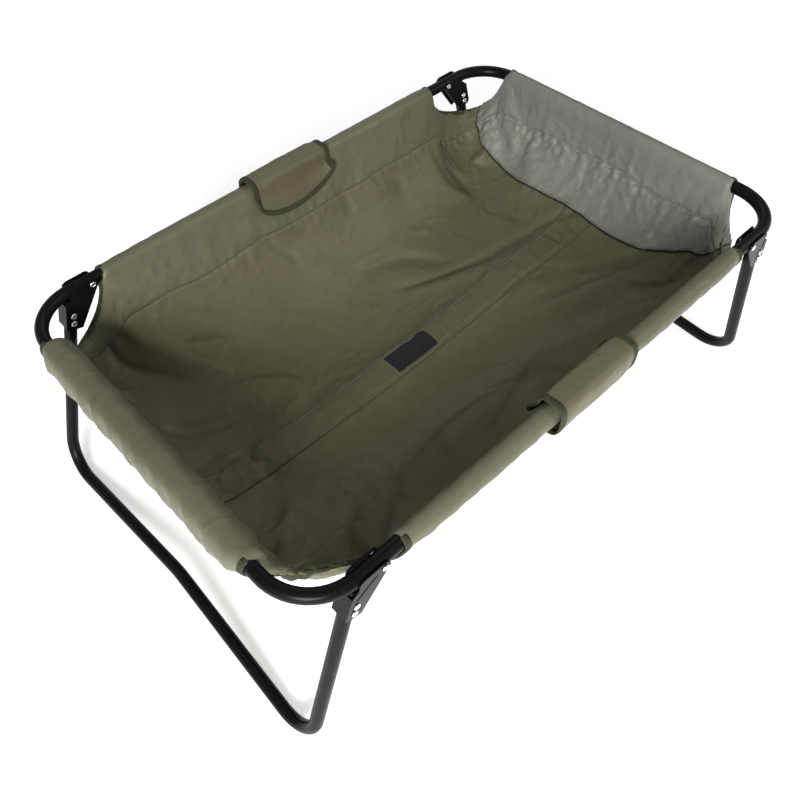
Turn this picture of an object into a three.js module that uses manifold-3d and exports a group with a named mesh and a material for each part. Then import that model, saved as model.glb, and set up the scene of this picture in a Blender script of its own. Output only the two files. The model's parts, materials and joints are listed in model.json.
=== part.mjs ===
// Folding sling stretcher: two U-shaped tube halves hinged in the middle of the long sides, a folding
// U-shaped leg under each end, and a deep fabric sling sewn round the top tubes.
// Millimetres. +X is the head end (grey panel), +Y the far long side, +Z up. The origin is on the floor,
// under the middle of the frame.
import * as THREE from 'three';
import { mergeVertices } from 'three/addons/utils/BufferGeometryUtils.js';
import Module from 'manifold-3d';

const wasm = await Module();
wasm.setup();

// ---------- driving dimensions ----------
const TUBE_R = 9.5;            // 19 mm steel tube, frame and legs
const TUBE_WALL = 1.2;
const GAP = 0.3;               // running gap between separate solids
const HALF_LENGTH = 469.5;     // frame centre line, from the middle to an end rail
const HALF_WIDTH = 300;        // frame centre line, from the middle to a side rail
const CORNER_R = 73;           // frame bend
const FRAME_Z = 336;           // height of the frame's centre line
const TUBE_SIDES = 12;
const BEND_STEPS = 7;          // per quarter turn

const LEG_TOP_X = 396.7;       // where the leg's centre line crosses the frame's height
const LEG_SPREAD_X = 102.2;    // how far the foot lies outboard of that
const LEG_SPREAD_Y = 11.2;     // how far the foot lies outside the side rail
const LEG_BEND_R = 50;
const LEG_ARCH = 32;           // how far the floor bar's middle is raised
const LEG_TOP_Z = 322.8;       // cut end of the leg under the side rail
const LEG_STRAIGHT = 66;       // upright length inside the bracket, before the leg splays in Y
const LEG_SPLAY_R = 60;        // easy bend where the splay begins
const LEG_ARCH_R = 120;        // easy bend in the floor bar's middle

const PIVOT_X = 365;           // leg pivot rivet, through the side rail's centre line
const LOBE_R = 8.5;            // bracket's rounded ear round the pivot
const PLATE = 1.8;             // bracket's steel
const CHANNEL_HALF = 9.9;      // half the bracket's inner width
const CHEEK_END = 402;         // outboard end of the cheeks, where the frame's bend begins
const BRACKET_LENGTH = 60;     // along the leg, from the frame's centre line
const CHEEK_INBOARD = 14;      // cheek's reach inboard of the leg's centre line, at its foot
const CHEEK_CORNER = 4;        // clipped corner at the cheek's foot
const CHEEK_TOP_CORNER = 8;
const CHEEK_BEVEL = 2.4;
const CHEEK_BELOW = 5;         // the outboard edge runs this far below the frame's centre line
const WEB_CLEAR = 4;           // between the bracket's web and the frame tube above it
const RECESS = 0.6;            // depth of the pressed triangle
const RECESS_LOW = [27, 3];    // its lowest corner, along the leg and outboard
const FIXING_AT = [36, 49];    // the two fixing rivets, along the leg
const RIVET_R = 2.9;
const RIVET_HEAD_R = 4.8;
const RIVET_HEAD = 2.0;
const RIVET_DIMPLE = 1;        // depth of the hollow in a head
const RIVET_CHAMFER = 1.4;
const ROUND_SIDES = 10;        // facets of a rivet or a drilled hole
const DRILL = 20;              // a drilled hole reaches this far each way, past every plate

const HINGE_UP = 13;           // hinge pin above the frame's centre line
const HINGE_PLATE = 1.5;
const SADDLE_CLEAR = 0.2;      // between a hinge leaf and the tube under it
const SADDLE_DOWN = 8;         // the leaf hangs this far down the tube's sides
const LUG_ROOT = 8;            // length of the lug's joint with the leaf
const LEAF_FROM = 10;
const LEAF_TO = 45;
const LEAF_RIVET_X = 32;
const LUG_R = 5.5;
const PIN_R = 2.5;
const PIN_HEAD_R = 4.2;

const SLEEVE_R = 11.2;         // fabric sleeve round a tube
const SLEEVE_WALL = 1;
const SIDE_SLEEVE = [47, 326]; // from the hinge to the corner cut-out
const END_SLEEVE_HALF = 225;
const WRAP = [24, 78];         // cover over the hinge, each half
const WRAP_R = 18;
const WRAP_WALL = 0.8;
const WRAP_TOP = 12.8;         // flattened top of the cover
const WRAP_SIDES = 24;

const CLOTH = 2;               // thickness of the sling's stand-in panels
const WALL_Y = 281.5;          // outer face of the sling's side wall
const WALL_Z = [264, 330];
const FLOOR_PROFILE = [[0.3, 157], [32, 157], [150, 168], [240, 212], [281, 260]];
const END_WALL_TOP = [456, 322];   // x, z of the end wall's outer face at its top
const END_WALL_LOW = [398, 160];
const PANEL_EDGE = 6;          // the end wall stops this far short of the floor, across
const PANEL_RISE = 3;          // and this far above it
const END_WALL_HALF = 268;     // half the end wall's width at its top
const STRIP_HALF = 26;         // half the reinforcing strip's width
const STRIP_SHIFT = -3;
const STRIP_Z = [157.4, 158.2];
const PATCH_Z = [158.6, 159.6];
const STRIP_TO = 388;
const PATCH = { half: 17, from: 57, to: 29, shift: -4 };

// ---------- materials ----------
const paint = (color, roughness, metalness) =>
  new THREE.MeshStandardMaterial({ color, roughness, metalness });
const blackSteel = paint(0x17181a, 0.42, 0.6);
const zinc = paint(0xc4c6c8, 0.35, 0.9);
const olive = paint(0x4b4d3b, 0.62, 0);
const oliveLight = paint(0x62614f, 0.6, 0);
const grey = paint(0x6d6f68, 0.62, 0);
const hook = paint(0x1b1b1d, 0.95, 0);

// ---------- scene graph ----------
const stretcher = new THREE.Group();
const group = (name) => {
  const g = new THREE.Group();
  g.name = name;
  stretcher.add(g);
  return g;
};
const footFrame = group('foot_frame_body');
const headFrame = group('head_frame_body');
const footLeg = group('foot_leg_body');
const headLeg = group('head_leg_body');

function add(parent, name, geometry, material) {
  const mesh = new THREE.Mesh(geometry, material.clone());
  mesh.name = name;
  parent.add(mesh);
  return mesh;
}

// ---------- solids ----------
function toSolid(geometry) {
  const bare = geometry.clone();
  bare.deleteAttribute('normal');
  bare.deleteAttribute('uv');
  const merged = mergeVertices(bare, 1e-4);
  return new wasm.Manifold(new wasm.Mesh({
    numProp: 3,
    vertProperties: Float32Array.from(merged.attributes.position.array),
    triVerts: Uint32Array.from(merged.index.array),
  }));
}

function toGeometry(solid) {
  const mesh = solid.getMesh();
  const geometry = new THREE.BufferGeometry();
  geometry.setAttribute('position', new THREE.BufferAttribute(Float32Array.from(mesh.vertProperties), 3));
  geometry.setIndex(new THREE.BufferAttribute(Uint32Array.from(mesh.triVerts), 1));
  geometry.computeVertexNormals();
  return geometry;
}

const cut = (body, ...tools) => toGeometry(
  tools.reduce((solid, tool) => solid.subtract(toSolid(tool)), toSolid(body)));
const join = (...parts) => toGeometry(
  parts.map(toSolid).reduce((a, b) => a.add(b)));

// A curve that visits exactly the given stations, so straight runs cost no extra steps.
class StationCurve extends THREE.Curve {
  constructor(stations) {
    super();
    this.stations = stations;
  }
  index(u) {
    return Math.round(u * (this.stations.length - 1));
  }
  getPointAt(u, target = new THREE.Vector3()) {
    return target.copy(this.stations[this.index(u)]);
  }
  getTangentAt(u, target = new THREE.Vector3()) {
    const i = this.index(u);
    const last = this.stations.length - 1;
    const before = this.stations[Math.max(i - 1, 0)];
    const after = this.stations[Math.min(i + 1, last)];
    return target.subVectors(after, before).normalize();
  }
}

function circle(r, sides) {
  const points = [];
  for (let i = 0; i < sides; i += 1) {
    const a = (2 * Math.PI * (i + 0.5)) / sides;
    points.push(new THREE.Vector2(r * Math.cos(a), r * Math.sin(a)));
  }
  return points;
}

function pipe(stations, outer, inner, sides = TUBE_SIDES) {
  const section = new THREE.Shape(circle(outer, sides));
  section.holes.push(new THREE.Path(circle(inner, sides)));
  const curve = new StationCurve(stations);
  return new THREE.ExtrudeGeometry(section, { steps: stations.length - 1, extrudePath: curve });
}

// Rounds each inner corner of a polyline with an arc of the given radius.
function rounded(corners, radii) {
  const stations = [corners[0]];
  for (let i = 1; i < corners.length - 1; i += 1) {
    const corner = corners[i];
    const back = corners[i - 1].clone().sub(corner).normalize();
    const ahead = corners[i + 1].clone().sub(corner).normalize();
    const half = back.angleTo(ahead) / 2;
    const centre = back.clone().add(ahead).normalize()
      .multiplyScalar(radii[i - 1] / Math.sin(half)).add(corner);
    const reach = radii[i - 1] / Math.tan(half);
    const from = back.multiplyScalar(reach).add(corner).sub(centre);
    const to = ahead.multiplyScalar(reach).add(corner).sub(centre);
    const turn = from.angleTo(to);
    const steps = Math.max(1, Math.ceil((turn / (Math.PI / 2)) * BEND_STEPS));
    for (let k = 0; k <= steps; k += 1) {
      const t = k / steps;
      stations.push(from.clone().multiplyScalar(Math.sin((1 - t) * turn) / Math.sin(turn))
        .addScaledVector(to, Math.sin(t * turn) / Math.sin(turn)).add(centre));
    }
  }
  stations.push(corners[corners.length - 1]);
  return stations;
}

const shapeOf = (points) => new THREE.Shape(points.map(([a, b]) => new THREE.Vector2(a, b)));

// An outline in x and z, as a plate between two y values.
function plateXZ(shape, y0, y1) {
  const plate = new THREE.ExtrudeGeometry(shape, { depth: y1 - y0, bevelEnabled: false });
  plate.rotateX(Math.PI / 2);
  plate.translate(0, y1, 0);
  return plate;
}

// A profile in y and z, as a bar between two x values.
function barYZ(shape, x0, x1) {
  const bar = new THREE.ExtrudeGeometry(shape, { depth: x1 - x0, bevelEnabled: false });
  bar.applyMatrix4(new THREE.Matrix4().makeBasis(
    new THREE.Vector3(0, 1, 0), new THREE.Vector3(0, 0, 1), new THREE.Vector3(1, 0, 0)));
  bar.translate(x0, 0, 0);
  return bar;
}

function block(x0, x1, y0, y1, z0, z1) {
  const box = new THREE.BoxGeometry(x1 - x0, y1 - y0, z1 - z0);
  box.translate((x0 + x1) / 2, (y0 + y1) / 2, (z0 + z1) / 2);
  return box;
}

// A round rod along Y.
function rodY(r, x, y0, y1, z, sides = ROUND_SIDES) {
  const rod = new THREE.CylinderGeometry(r, r, y1 - y0, sides);
  rod.translate(x, (y0 + y1) / 2, z);
  return rod;
}

// A rivet's hole along Y.
const drill = (r, x, y, z) => rodY(r + GAP, x, y - DRILL, y + DRILL, z);

// Two bounds in rising order, mirrored to the given end or side.
const span = (sign, a, b) => [Math.min(sign * a, sign * b), Math.max(sign * a, sign * b)];

// A tubular rivet along Y, with a domed and dimpled head outside each face of a packet.
function rivet(x, y, z, packetHalf, shankR = RIVET_R, headR = RIVET_HEAD_R) {
  const face = packetHalf + GAP;
  const top = face + RIVET_HEAD;
  const half = [[0, top - RIVET_DIMPLE], [RIVET_CHAMFER * 1.4, top], [headR - RIVET_CHAMFER, top],
    [headR, face], [shankR, face]];
  const profile = [...half.map(([r, h]) => [r, -h]), ...half.reverse()];
  const turned = new THREE.LatheGeometry(profile.map(([r, h]) => new THREE.Vector2(r, h)), ROUND_SIDES);
  turned.translate(x, y, z);
  return turned;
}

// ---------- frame ----------
const SIDES = [['near', -1], ['far', 1]];
const ENDS = [['foot', -1, footFrame, footLeg], ['head', 1, headFrame, headLeg]];
const spot = (x, y, z) => new THREE.Vector3(x, y, z);

function frameTube(end) {
  const x = end * HALF_LENGTH;
  const start = end * GAP;
  const corners = [spot(start, -HALF_WIDTH, FRAME_Z), spot(x, -HALF_WIDTH, FRAME_Z),
    spot(x, HALF_WIDTH, FRAME_Z), spot(start, HALF_WIDTH, FRAME_Z)];
  const tube = pipe(rounded(corners, [CORNER_R, CORNER_R]), TUBE_R, TUBE_R - TUBE_WALL);
  const holes = [];
  for (const [, side] of SIDES) {
    const y = side * HALF_WIDTH;
    holes.push(drill(RIVET_R, end * PIVOT_X, y, FRAME_Z), drill(RIVET_R, end * LEAF_RIVET_X, y, FRAME_Z));
  }
  return cut(tube, ...holes);
}

// ---------- middle hinge ----------
const LEAF_INNER = TUBE_R + SADDLE_CLEAR;
const LEAF_OUTER = LEAF_INNER + HINGE_PLATE;

// The lug's outline, leaning from the leaf up to the pin and past it.
function lugOutline(end) {
  const pinZ = FRAME_Z + HINGE_UP;
  const root = LEAF_FROM + LUG_ROOT;
  const shoulder = LUG_R * 0.8;
  return shapeOf([[end * root, FRAME_Z - CHEEK_BELOW], [end * LUG_R, FRAME_Z - 4],
    [-end * LUG_R, pinZ - 1], [-end * shoulder, pinZ + shoulder], [0, pinZ + LUG_R],
    [end * shoulder, pinZ + shoulder], [end * root, FRAME_Z + LEAF_OUTER - 1]]);
}

// The foot's lugs lie against the leaf and the head's lugs outside them, so the two halves interleave.
function hingeLeaf(end, side) {
  const y = side * HALF_WIDTH;
  const [x0, x1] = span(end, LEAF_FROM, LEAF_TO);
  const [root0, root1] = span(end, LEAF_FROM, LEAF_FROM + LUG_ROOT);
  const saddle = cut(
    block(x0, x1, y - LEAF_OUTER, y + LEAF_OUTER, FRAME_Z - SADDLE_DOWN, FRAME_Z + LEAF_OUTER),
    block(x0 - 1, x1 + 1, y - LEAF_INNER, y + LEAF_INNER, FRAME_Z - SADDLE_DOWN - 1, FRAME_Z + LEAF_INNER));
  const lugFrom = end < 0 ? LEAF_INNER : LEAF_OUTER + GAP;
  const lugTo = lugFrom + HINGE_PLATE;
  const pieces = [saddle];
  for (const face of [-1, 1]) {
    pieces.push(plateXZ(lugOutline(end), ...span(face, face * y + lugFrom, face * y + lugTo)));
    const [c, d] = span(face, face * y + LEAF_INNER, face * y + lugTo);
    pieces.push(block(root0, root1, c, d, FRAME_Z - CHEEK_BELOW, FRAME_Z + CHEEK_BELOW));
  }
  return cut(join(...pieces), drill(PIN_R, 0, y, FRAME_Z + HINGE_UP),
    drill(RIVET_R, end * LEAF_RIVET_X, y, FRAME_Z));
}

function hingePin(side) {
  const packet = LEAF_OUTER + GAP + HINGE_PLATE;
  return rivet(0, side * HALF_WIDTH, FRAME_Z + HINGE_UP, packet, PIN_R, PIN_HEAD_R);
}

// ---------- legs and brackets ----------
const TILT = Math.atan2(LEG_SPREAD_X, FRAME_Z - TUBE_R);
const legX = (z) => LEG_TOP_X + Math.tan(TILT) * (FRAME_Z - z);
// A point s along the leg from the frame's height, and n outboard of its centre line.
const onLeg = (s, n) => [LEG_TOP_X + s * Math.sin(TILT) + n * Math.cos(TILT),
  FRAME_Z - s * Math.cos(TILT) + n * Math.sin(TILT)];

function legStations(end, footZ) {
  const [sx, sz] = onLeg(LEG_STRAIGHT, 0);
  const footY = HALF_WIDTH + LEG_SPREAD_Y;
  const middleX = legX(footZ + LEG_ARCH);
  const right = [spot(end * legX(LEG_TOP_Z), -HALF_WIDTH, LEG_TOP_Z), spot(end * sx, -HALF_WIDTH, sz),
    spot(end * legX(footZ), -footY, footZ)];
  const left = right.map((p) => spot(p.x, -p.y, p.z)).reverse();
  const corners = [...right, spot(end * middleX, 0, footZ + LEG_ARCH), ...left];
  return rounded(corners, [LEG_SPLAY_R, LEG_BEND_R, LEG_ARCH_R, LEG_BEND_R, LEG_SPLAY_R]);
}

function legTube(end) {
  const low = Math.min(...legStations(end, TUBE_R).map((p) => p.z));
  const lift = TUBE_R / Math.cos(Math.PI / TUBE_SIDES) - low;
  const tube = pipe(legStations(end, TUBE_R + lift), TUBE_R, TUBE_R - TUBE_WALL);
  const holes = [];
  for (const [, side] of SIDES) {
    for (const s of FIXING_AT) {
      const [u, z] = onLeg(s, 0);
      holes.push(drill(RIVET_R, end * u, side * HALF_WIDTH, z));
    }
  }
  return cut(tube, ...holes);
}

const WEB_TOP = FRAME_Z - TUBE_R - WEB_CLEAR;
const BRACKET_HALF = CHANNEL_HALF + PLATE;

// The bracket's side view: a rounded ear at the pivot, a straight top, and sides that follow the leg.
function cheekOutline(end) {
  const outline = new THREE.Shape();
  const [ax, az] = onLeg(BRACKET_LENGTH, -CHEEK_INBOARD);
  const [bx, bz] = onLeg(BRACKET_LENGTH, BRACKET_HALF - CHEEK_CORNER);
  const [cx, cz] = onLeg(BRACKET_LENGTH - CHEEK_CORNER, BRACKET_HALF);
  const webTopX = legX(WEB_TOP) + BRACKET_HALF / Math.cos(TILT);
  const tangent = Math.atan2(az - FRAME_Z, ax - PIVOT_X)
    - Math.acos(LOBE_R / Math.hypot(ax - PIVOT_X, az - FRAME_Z));
  const start = tangent + 2 * Math.PI;
  const steps = 7;
  outline.moveTo(end * ax, az);
  for (let i = 0; i <= steps; i += 1) {
    const a = start + (Math.PI / 2 - start) * (i / steps);
    outline.lineTo(end * (PIVOT_X + LOBE_R * Math.cos(a)), FRAME_Z + LOBE_R * Math.sin(a));
  }
  outline.lineTo(end * (CHEEK_END - CHEEK_TOP_CORNER), FRAME_Z + LOBE_R);
  outline.lineTo(end * (CHEEK_END - CHEEK_BEVEL), FRAME_Z + LOBE_R - CHEEK_BEVEL);
  outline.lineTo(end * CHEEK_END, FRAME_Z + LOBE_R - CHEEK_TOP_CORNER);
  outline.lineTo(end * CHEEK_END, FRAME_Z - CHEEK_BELOW);
  outline.lineTo(end * webTopX, WEB_TOP);
  outline.lineTo(end * cx, cz);
  outline.lineTo(end * bx, bz);
  outline.closePath();
  return outline;
}

// What is cut away inside a bracket: the channel for the leg, and all between the cheeks above it.
function channelOutline(end) {
  const low = FRAME_Z - 1.5 * BRACKET_LENGTH;
  const high = FRAME_Z + 4 * LOBE_R;
  const inboard = PIVOT_X - 4 * LOBE_R;
  const outboard = CHEEK_END + BRACKET_LENGTH;
  const wall = (z) => legX(z) + CHANNEL_HALF / Math.cos(TILT);
  return shapeOf([[inboard, low], [wall(low), low], [wall(WEB_TOP), WEB_TOP], [outboard, WEB_TOP],
    [outboard, high], [inboard, high]].map(([x, z]) => [end * x, z]));
}

function bracket(end, side) {
  const y = side * HALF_WIDTH;
  const recess = shapeOf([[PIVOT_X + LOBE_R + 0.5, FRAME_Z - 3], [LEG_TOP_X + 4, FRAME_Z + 1],
    onLeg(...RECESS_LOW)].map(([x, z]) => [end * x, z]));
  const tools = [plateXZ(channelOutline(end), y - CHANNEL_HALF, y + CHANNEL_HALF),
    drill(RIVET_R, end * PIVOT_X, y, FRAME_Z)];
  for (const face of [-1, 1]) {
    const outside = face * y + BRACKET_HALF;
    tools.push(plateXZ(recess, ...span(face, outside - RECESS, outside + 1)));
  }
  for (const s of FIXING_AT) {
    const [u, z] = onLeg(s, 0);
    tools.push(drill(RIVET_R, end * u, y, z));
  }
  return cut(plateXZ(cheekOutline(end), y - BRACKET_HALF, y + BRACKET_HALF), ...tools);
}

// ---------- sling ----------
function straightSleeve(from, to, outer = SLEEVE_R, wall = SLEEVE_WALL) {
  return pipe([from, to], outer, outer - wall);
}

function hingeWrap(end, side) {
  const y = side * HALF_WIDTH;
  const ring = (r, top) => shapeOf(
    circle(r, WRAP_SIDES).map((p) => [y + p.x, FRAME_Z + Math.min(p.y, top)]));
  const [x0, x1] = span(end, ...WRAP);
  return cut(barYZ(ring(WRAP_R, WRAP_TOP), x0, x1),
    barYZ(ring(WRAP_R - WRAP_WALL, WRAP_TOP - WRAP_WALL), x0 - 1, x1 + 1));
}

function sideWall(end, side) {
  const [x0, x1] = span(end, GAP, SIDE_SLEEVE[1]);
  const [y0, y1] = span(side, WALL_Y - CLOTH, WALL_Y);
  return block(x0, x1, y0, y1, ...WALL_Z);
}

const endWallX = (z) => END_WALL_LOW[0]
  + ((z - END_WALL_LOW[1]) * (END_WALL_TOP[0] - END_WALL_LOW[0])) / (END_WALL_TOP[1] - END_WALL_LOW[1]);

// The profile's offset inwards by the cloth's thickness is a little wider where the floor slopes.
const OFFSET_OUT = 0.6;
const OFFSET_ABOVE = 158;

function floorPanel(end, side) {
  const upper = FLOOR_PROFILE.map(([y, z]) => [side * y, z]);
  const lower = FLOOR_PROFILE
    .map(([y, z]) => [side * (y + (z > OFFSET_ABOVE ? OFFSET_OUT : 0)), z - CLOTH]).reverse();
  const reach = HALF_LENGTH + 2 * CORNER_R;
  const [low, high] = [100, 380];
  const inside = (z) => end * (endWallX(z) - CLOTH * 1.2 - GAP);
  const beyond = shapeOf([[inside(low), low], [end * reach, low], [end * reach, high],
    [inside(high), high]]);
  return cut(barYZ(shapeOf([...upper, ...lower]), ...span(end, GAP, HALF_LENGTH)),
    plateXZ(beyond, -HALF_WIDTH, HALF_WIDTH));
}

function endWall(end) {
  const run = END_WALL_TOP[0] - END_WALL_LOW[0];
  const rise = END_WALL_TOP[1] - END_WALL_LOW[1];
  const slope = Math.hypot(run, rise) / rise;
  const right = [...FLOOR_PROFILE.slice(1).map(([y, z]) => [y - PANEL_EDGE, z + PANEL_RISE]),
    [END_WALL_HALF, END_WALL_TOP[1]]];
  const left = right.map(([y, z]) => [-y, z]).reverse();
  const outline = [...right, ...left].map(([y, z]) => [y, (z - END_WALL_LOW[1]) * slope]);
  const panel = barYZ(shapeOf(outline), -CLOTH, 0);
  panel.rotateY(Math.atan2(run, rise));
  panel.translate(END_WALL_LOW[0], 0, END_WALL_LOW[1]);
  if (end < 0) panel.rotateZ(Math.PI);
  return panel;
}

const strip = (end) => block(...span(end, GAP, STRIP_TO),
  STRIP_SHIFT - STRIP_HALF, STRIP_SHIFT + STRIP_HALF, ...STRIP_Z);

function hookPatch(end) {
  const x = end < 0 ? [-PATCH.from, -GAP] : [GAP, PATCH.to];
  return block(...x, PATCH.shift - PATCH.half, PATCH.shift + PATCH.half, ...PATCH_Z);
}

// ---------- assembly ----------
for (const [endName, end, frameBody, legBody] of ENDS) {
  const panelColour = end < 0 ? olive : grey;
  add(frameBody, `${endName}_frame_tube`, frameTube(end), blackSteel);
  add(frameBody, `${endName}_end_sleeve`, straightSleeve(
    spot(end * HALF_LENGTH, -END_SLEEVE_HALF, FRAME_Z), spot(end * HALF_LENGTH, END_SLEEVE_HALF, FRAME_Z)),
  panelColour);
  add(frameBody, `${endName}_end_panel`, endWall(end), panelColour);
  add(frameBody, `${endName}_centre_strip`, strip(end), olive);
  add(frameBody, `${endName}_hook_patch`, hookPatch(end), hook);
  add(legBody, `${endName}_leg_tube`, legTube(end), blackSteel);

  for (const [sideName, side] of SIDES) {
    const y = side * HALF_WIDTH;
    const where = `${endName}_${sideName}`;
    add(frameBody, `${where}_sleeve`, straightSleeve(
      spot(end * SIDE_SLEEVE[0], y, FRAME_Z), spot(end * SIDE_SLEEVE[1], y, FRAME_Z)), oliveLight);
    add(frameBody, `${where}_side_panel`, sideWall(end, side), olive);
    add(frameBody, `${where}_floor_panel`, floorPanel(end, side), olive);
    add(frameBody, `${where}_hinge_wrap`, hingeWrap(end, side), oliveLight);
    add(frameBody, `${where}_hinge_leaf`, hingeLeaf(end, side), blackSteel);
    add(frameBody, `${where}_leaf_rivet`, rivet(end * LEAF_RIVET_X, y, FRAME_Z, LEAF_OUTER), zinc);
    if (end < 0) add(frameBody, `${sideName}_hinge_pin`, hingePin(side), zinc);

    add(legBody, `${where}_bracket`, bracket(end, side), blackSteel);
    add(legBody, `${where}_pivot_rivet`, rivet(end * PIVOT_X, y, FRAME_Z, BRACKET_HALF), zinc);
    FIXING_AT.forEach((s, i) => {
      const [u, z] = onLeg(s, 0);
      add(legBody, `${where}_fixing_rivet_${i + 1}`, rivet(end * u, y, z, BRACKET_HALF), zinc);
    });
  }
}

export default stretcher;
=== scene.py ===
"""Looks for the folding sling stretcher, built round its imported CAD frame. Metres; +X is the head end,
+Y the far long side, +Z up, and the origin is on the floor under the middle."""
import json
import math

import bpy
import numpy as np
from mathutils import Matrix, Vector
from mathutils.bvhtree import BVHTree

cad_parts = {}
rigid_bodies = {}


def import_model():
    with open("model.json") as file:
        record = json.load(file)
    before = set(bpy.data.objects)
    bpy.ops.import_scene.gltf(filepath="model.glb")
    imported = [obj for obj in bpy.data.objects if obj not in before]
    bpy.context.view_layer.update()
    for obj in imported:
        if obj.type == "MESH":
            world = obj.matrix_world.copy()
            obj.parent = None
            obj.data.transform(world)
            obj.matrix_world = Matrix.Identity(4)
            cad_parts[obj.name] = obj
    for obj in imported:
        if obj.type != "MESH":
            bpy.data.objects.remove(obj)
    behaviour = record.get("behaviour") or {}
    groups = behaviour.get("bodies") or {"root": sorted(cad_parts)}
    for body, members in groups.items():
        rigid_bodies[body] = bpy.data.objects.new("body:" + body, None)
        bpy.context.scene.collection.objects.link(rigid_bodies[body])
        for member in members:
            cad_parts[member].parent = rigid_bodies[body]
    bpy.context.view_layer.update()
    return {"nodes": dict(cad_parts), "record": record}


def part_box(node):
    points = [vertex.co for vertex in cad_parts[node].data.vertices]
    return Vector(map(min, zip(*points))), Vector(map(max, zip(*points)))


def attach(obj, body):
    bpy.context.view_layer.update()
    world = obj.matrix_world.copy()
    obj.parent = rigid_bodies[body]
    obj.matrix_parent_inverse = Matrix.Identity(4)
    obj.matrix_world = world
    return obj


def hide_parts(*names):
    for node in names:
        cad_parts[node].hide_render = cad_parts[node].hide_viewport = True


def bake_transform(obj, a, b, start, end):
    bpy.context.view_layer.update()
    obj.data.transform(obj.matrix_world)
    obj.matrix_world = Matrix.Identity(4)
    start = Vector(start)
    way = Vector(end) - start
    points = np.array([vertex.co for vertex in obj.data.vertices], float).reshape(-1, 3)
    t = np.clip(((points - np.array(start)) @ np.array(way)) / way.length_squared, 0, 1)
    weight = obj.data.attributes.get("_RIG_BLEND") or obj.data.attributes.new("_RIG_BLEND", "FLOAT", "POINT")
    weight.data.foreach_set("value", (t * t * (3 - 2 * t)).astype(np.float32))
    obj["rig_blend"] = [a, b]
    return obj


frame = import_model()

# ---------- sizes, as in the CAD ----------
TUBE_R, TUBE_WALL = 0.0095, 0.0012
HALF_LENGTH, HALF_WIDTH, CORNER_R, RAIL_Z = 0.4695, 0.300, 0.073, 0.336
LEG_TOP_X, LEG_SPREAD_X, LEG_SPREAD_Y = 0.3967, 0.1022, 0.0112
LEG_BEND_R, LEG_ARCH, LEG_TOP_Z, LEG_STRAIGHT = 0.050, 0.032, 0.3228, 0.066
LEG_SPLAY_R, LEG_ARCH_R = 0.060, 0.120
TILT = math.atan2(LEG_SPREAD_X, RAIL_Z - TUBE_R)
HINGE_BAND = 0.075              # cloth bends over the middle hinge within this distance of it
SLING_THICK, BAND_THICK, PANEL_THICK, DOUBLE_THICK = 0.0009, 0.0007, 0.0008, 0.0012
OVER_HINGE = "over the hinge"   # in place of a body, for pieces that bend from one frame half to the other
THREAD_PITCH = 0.0011           # of the nylon's weave
ENDS = (("foot", -1), ("head", 1))
SIDES = (("near", -1), ("far", 1))

# ---------- the sling's pattern ----------
RAIL_TOP = RAIL_Z + 0.0110
SIDE_PROFILE = [                # y, z from the rail's top to the middle
    (0.3000, RAIL_TOP), (0.2921, 0.3438), (0.2890, RAIL_Z), (0.2886, 0.3000), (0.2880, 0.2620),
    (0.2680, 0.2330), (0.2400, 0.2090), (0.1950, 0.1850), (0.1500, 0.1690), (0.0900, 0.1590),
    (0.0320, 0.1560), (0.0000, 0.1560)]
END_PROFILES = {                # x, z; the foot wall is the steeper one, with a fuller sleeve
    -1: [(0.4695, RAIL_TOP), (0.4560, 0.3445), (0.4455, 0.3330), (0.4410, 0.3080), (0.4440, 0.2700),
         (0.4390, 0.2350), (0.4330, 0.2050), (0.4250, 0.1850), (0.4090, 0.1700), (0.3700, 0.1620),
         (0.2400, 0.1580), (0.0000, 0.1580)],
    1: [(0.4695, RAIL_TOP), (0.4616, 0.3438), (0.4585, RAIL_Z), (0.4572, 0.3000), (0.4545, 0.2750),
        (0.4440, 0.2420), (0.4310, 0.2150), (0.4170, 0.2000), (0.3940, 0.1910), (0.3400, 0.1860),
        (0.1800, 0.1780), (0.0000, 0.1580)]}
SEAM_KNOT = 4                   # the profile point that the band's seam follows
FLOOR_LOW, CORNER_POWER = 0.150, 3.0
GRID_S, GRID_T = 120, 92        # cells of the cloth, along and across
CORNERS = {                     # where a corner cut-out leaves each rail, and its lowest point
    ("foot", "far"): dict(rail_x=0.346, rail_y=0.226, low=(0.438, 0.281, 0.252)),
    ("foot", "near"): dict(rail_x=0.332, rail_y=0.210, low=(0.420, 0.243, 0.298), tuck=0.052),
    ("head", "far"): dict(rail_x=0.322, rail_y=0.234, low=(0.448, 0.282, 0.268)),
    ("head", "near"): dict(rail_x=0.334, rail_y=0.213, low=(0.450, 0.262, 0.244)),
}

RAILS = ("foot_rail", "head_rail")
WRAP_EDGES = ("foot_edge", "head_edge", "flap_edge")
SHEETS = {                      # held how and on what, its cut's width, length and area, and what is on it
    "sling": ("hung", RAILS, 0.905, 1.125, 0.869,
              (*(f"{end}_{side}_binding" for end, _ in ENDS for side, _ in SIDES), "sling_stitches")),
    "near_band": ("stretched", RAILS, 0.165, 1.060, 0.151, ()),
    "far_band": ("stretched", RAILS, 0.165, 1.060, 0.152, ()),
    "foot_band": ("gathered", ("foot_rail",), 0.190, 0.860, 0.105, ()),
    "head_band": ("stretched", ("head_rail",), 0.085, 0.560, 0.0456, ()),
    "head_panel": ("laid", ("sling",), 0.200, 0.660, 0.0892, ("head_piping", "head_stitches")),
    "centre_strip": ("laid", ("sling",), 0.062, 0.935, 0.0578, ()),
    "hook_patch_cloth": ("laid", ("centre_strip",), 0.040, 0.090, 0.0035, ()),
    **{f"{side}_wrap": ("folded", (f"{side}_band",), 0.165, 0.160, 0.0259,
                        tuple(f"{side}_wrap_{edge}" for edge in WRAP_EDGES)) for side, _ in SIDES}}
SOFT_PIECES = {*SHEETS, *(extra for row in SHEETS.values() for extra in row[-1])} - {"sling"}


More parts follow.
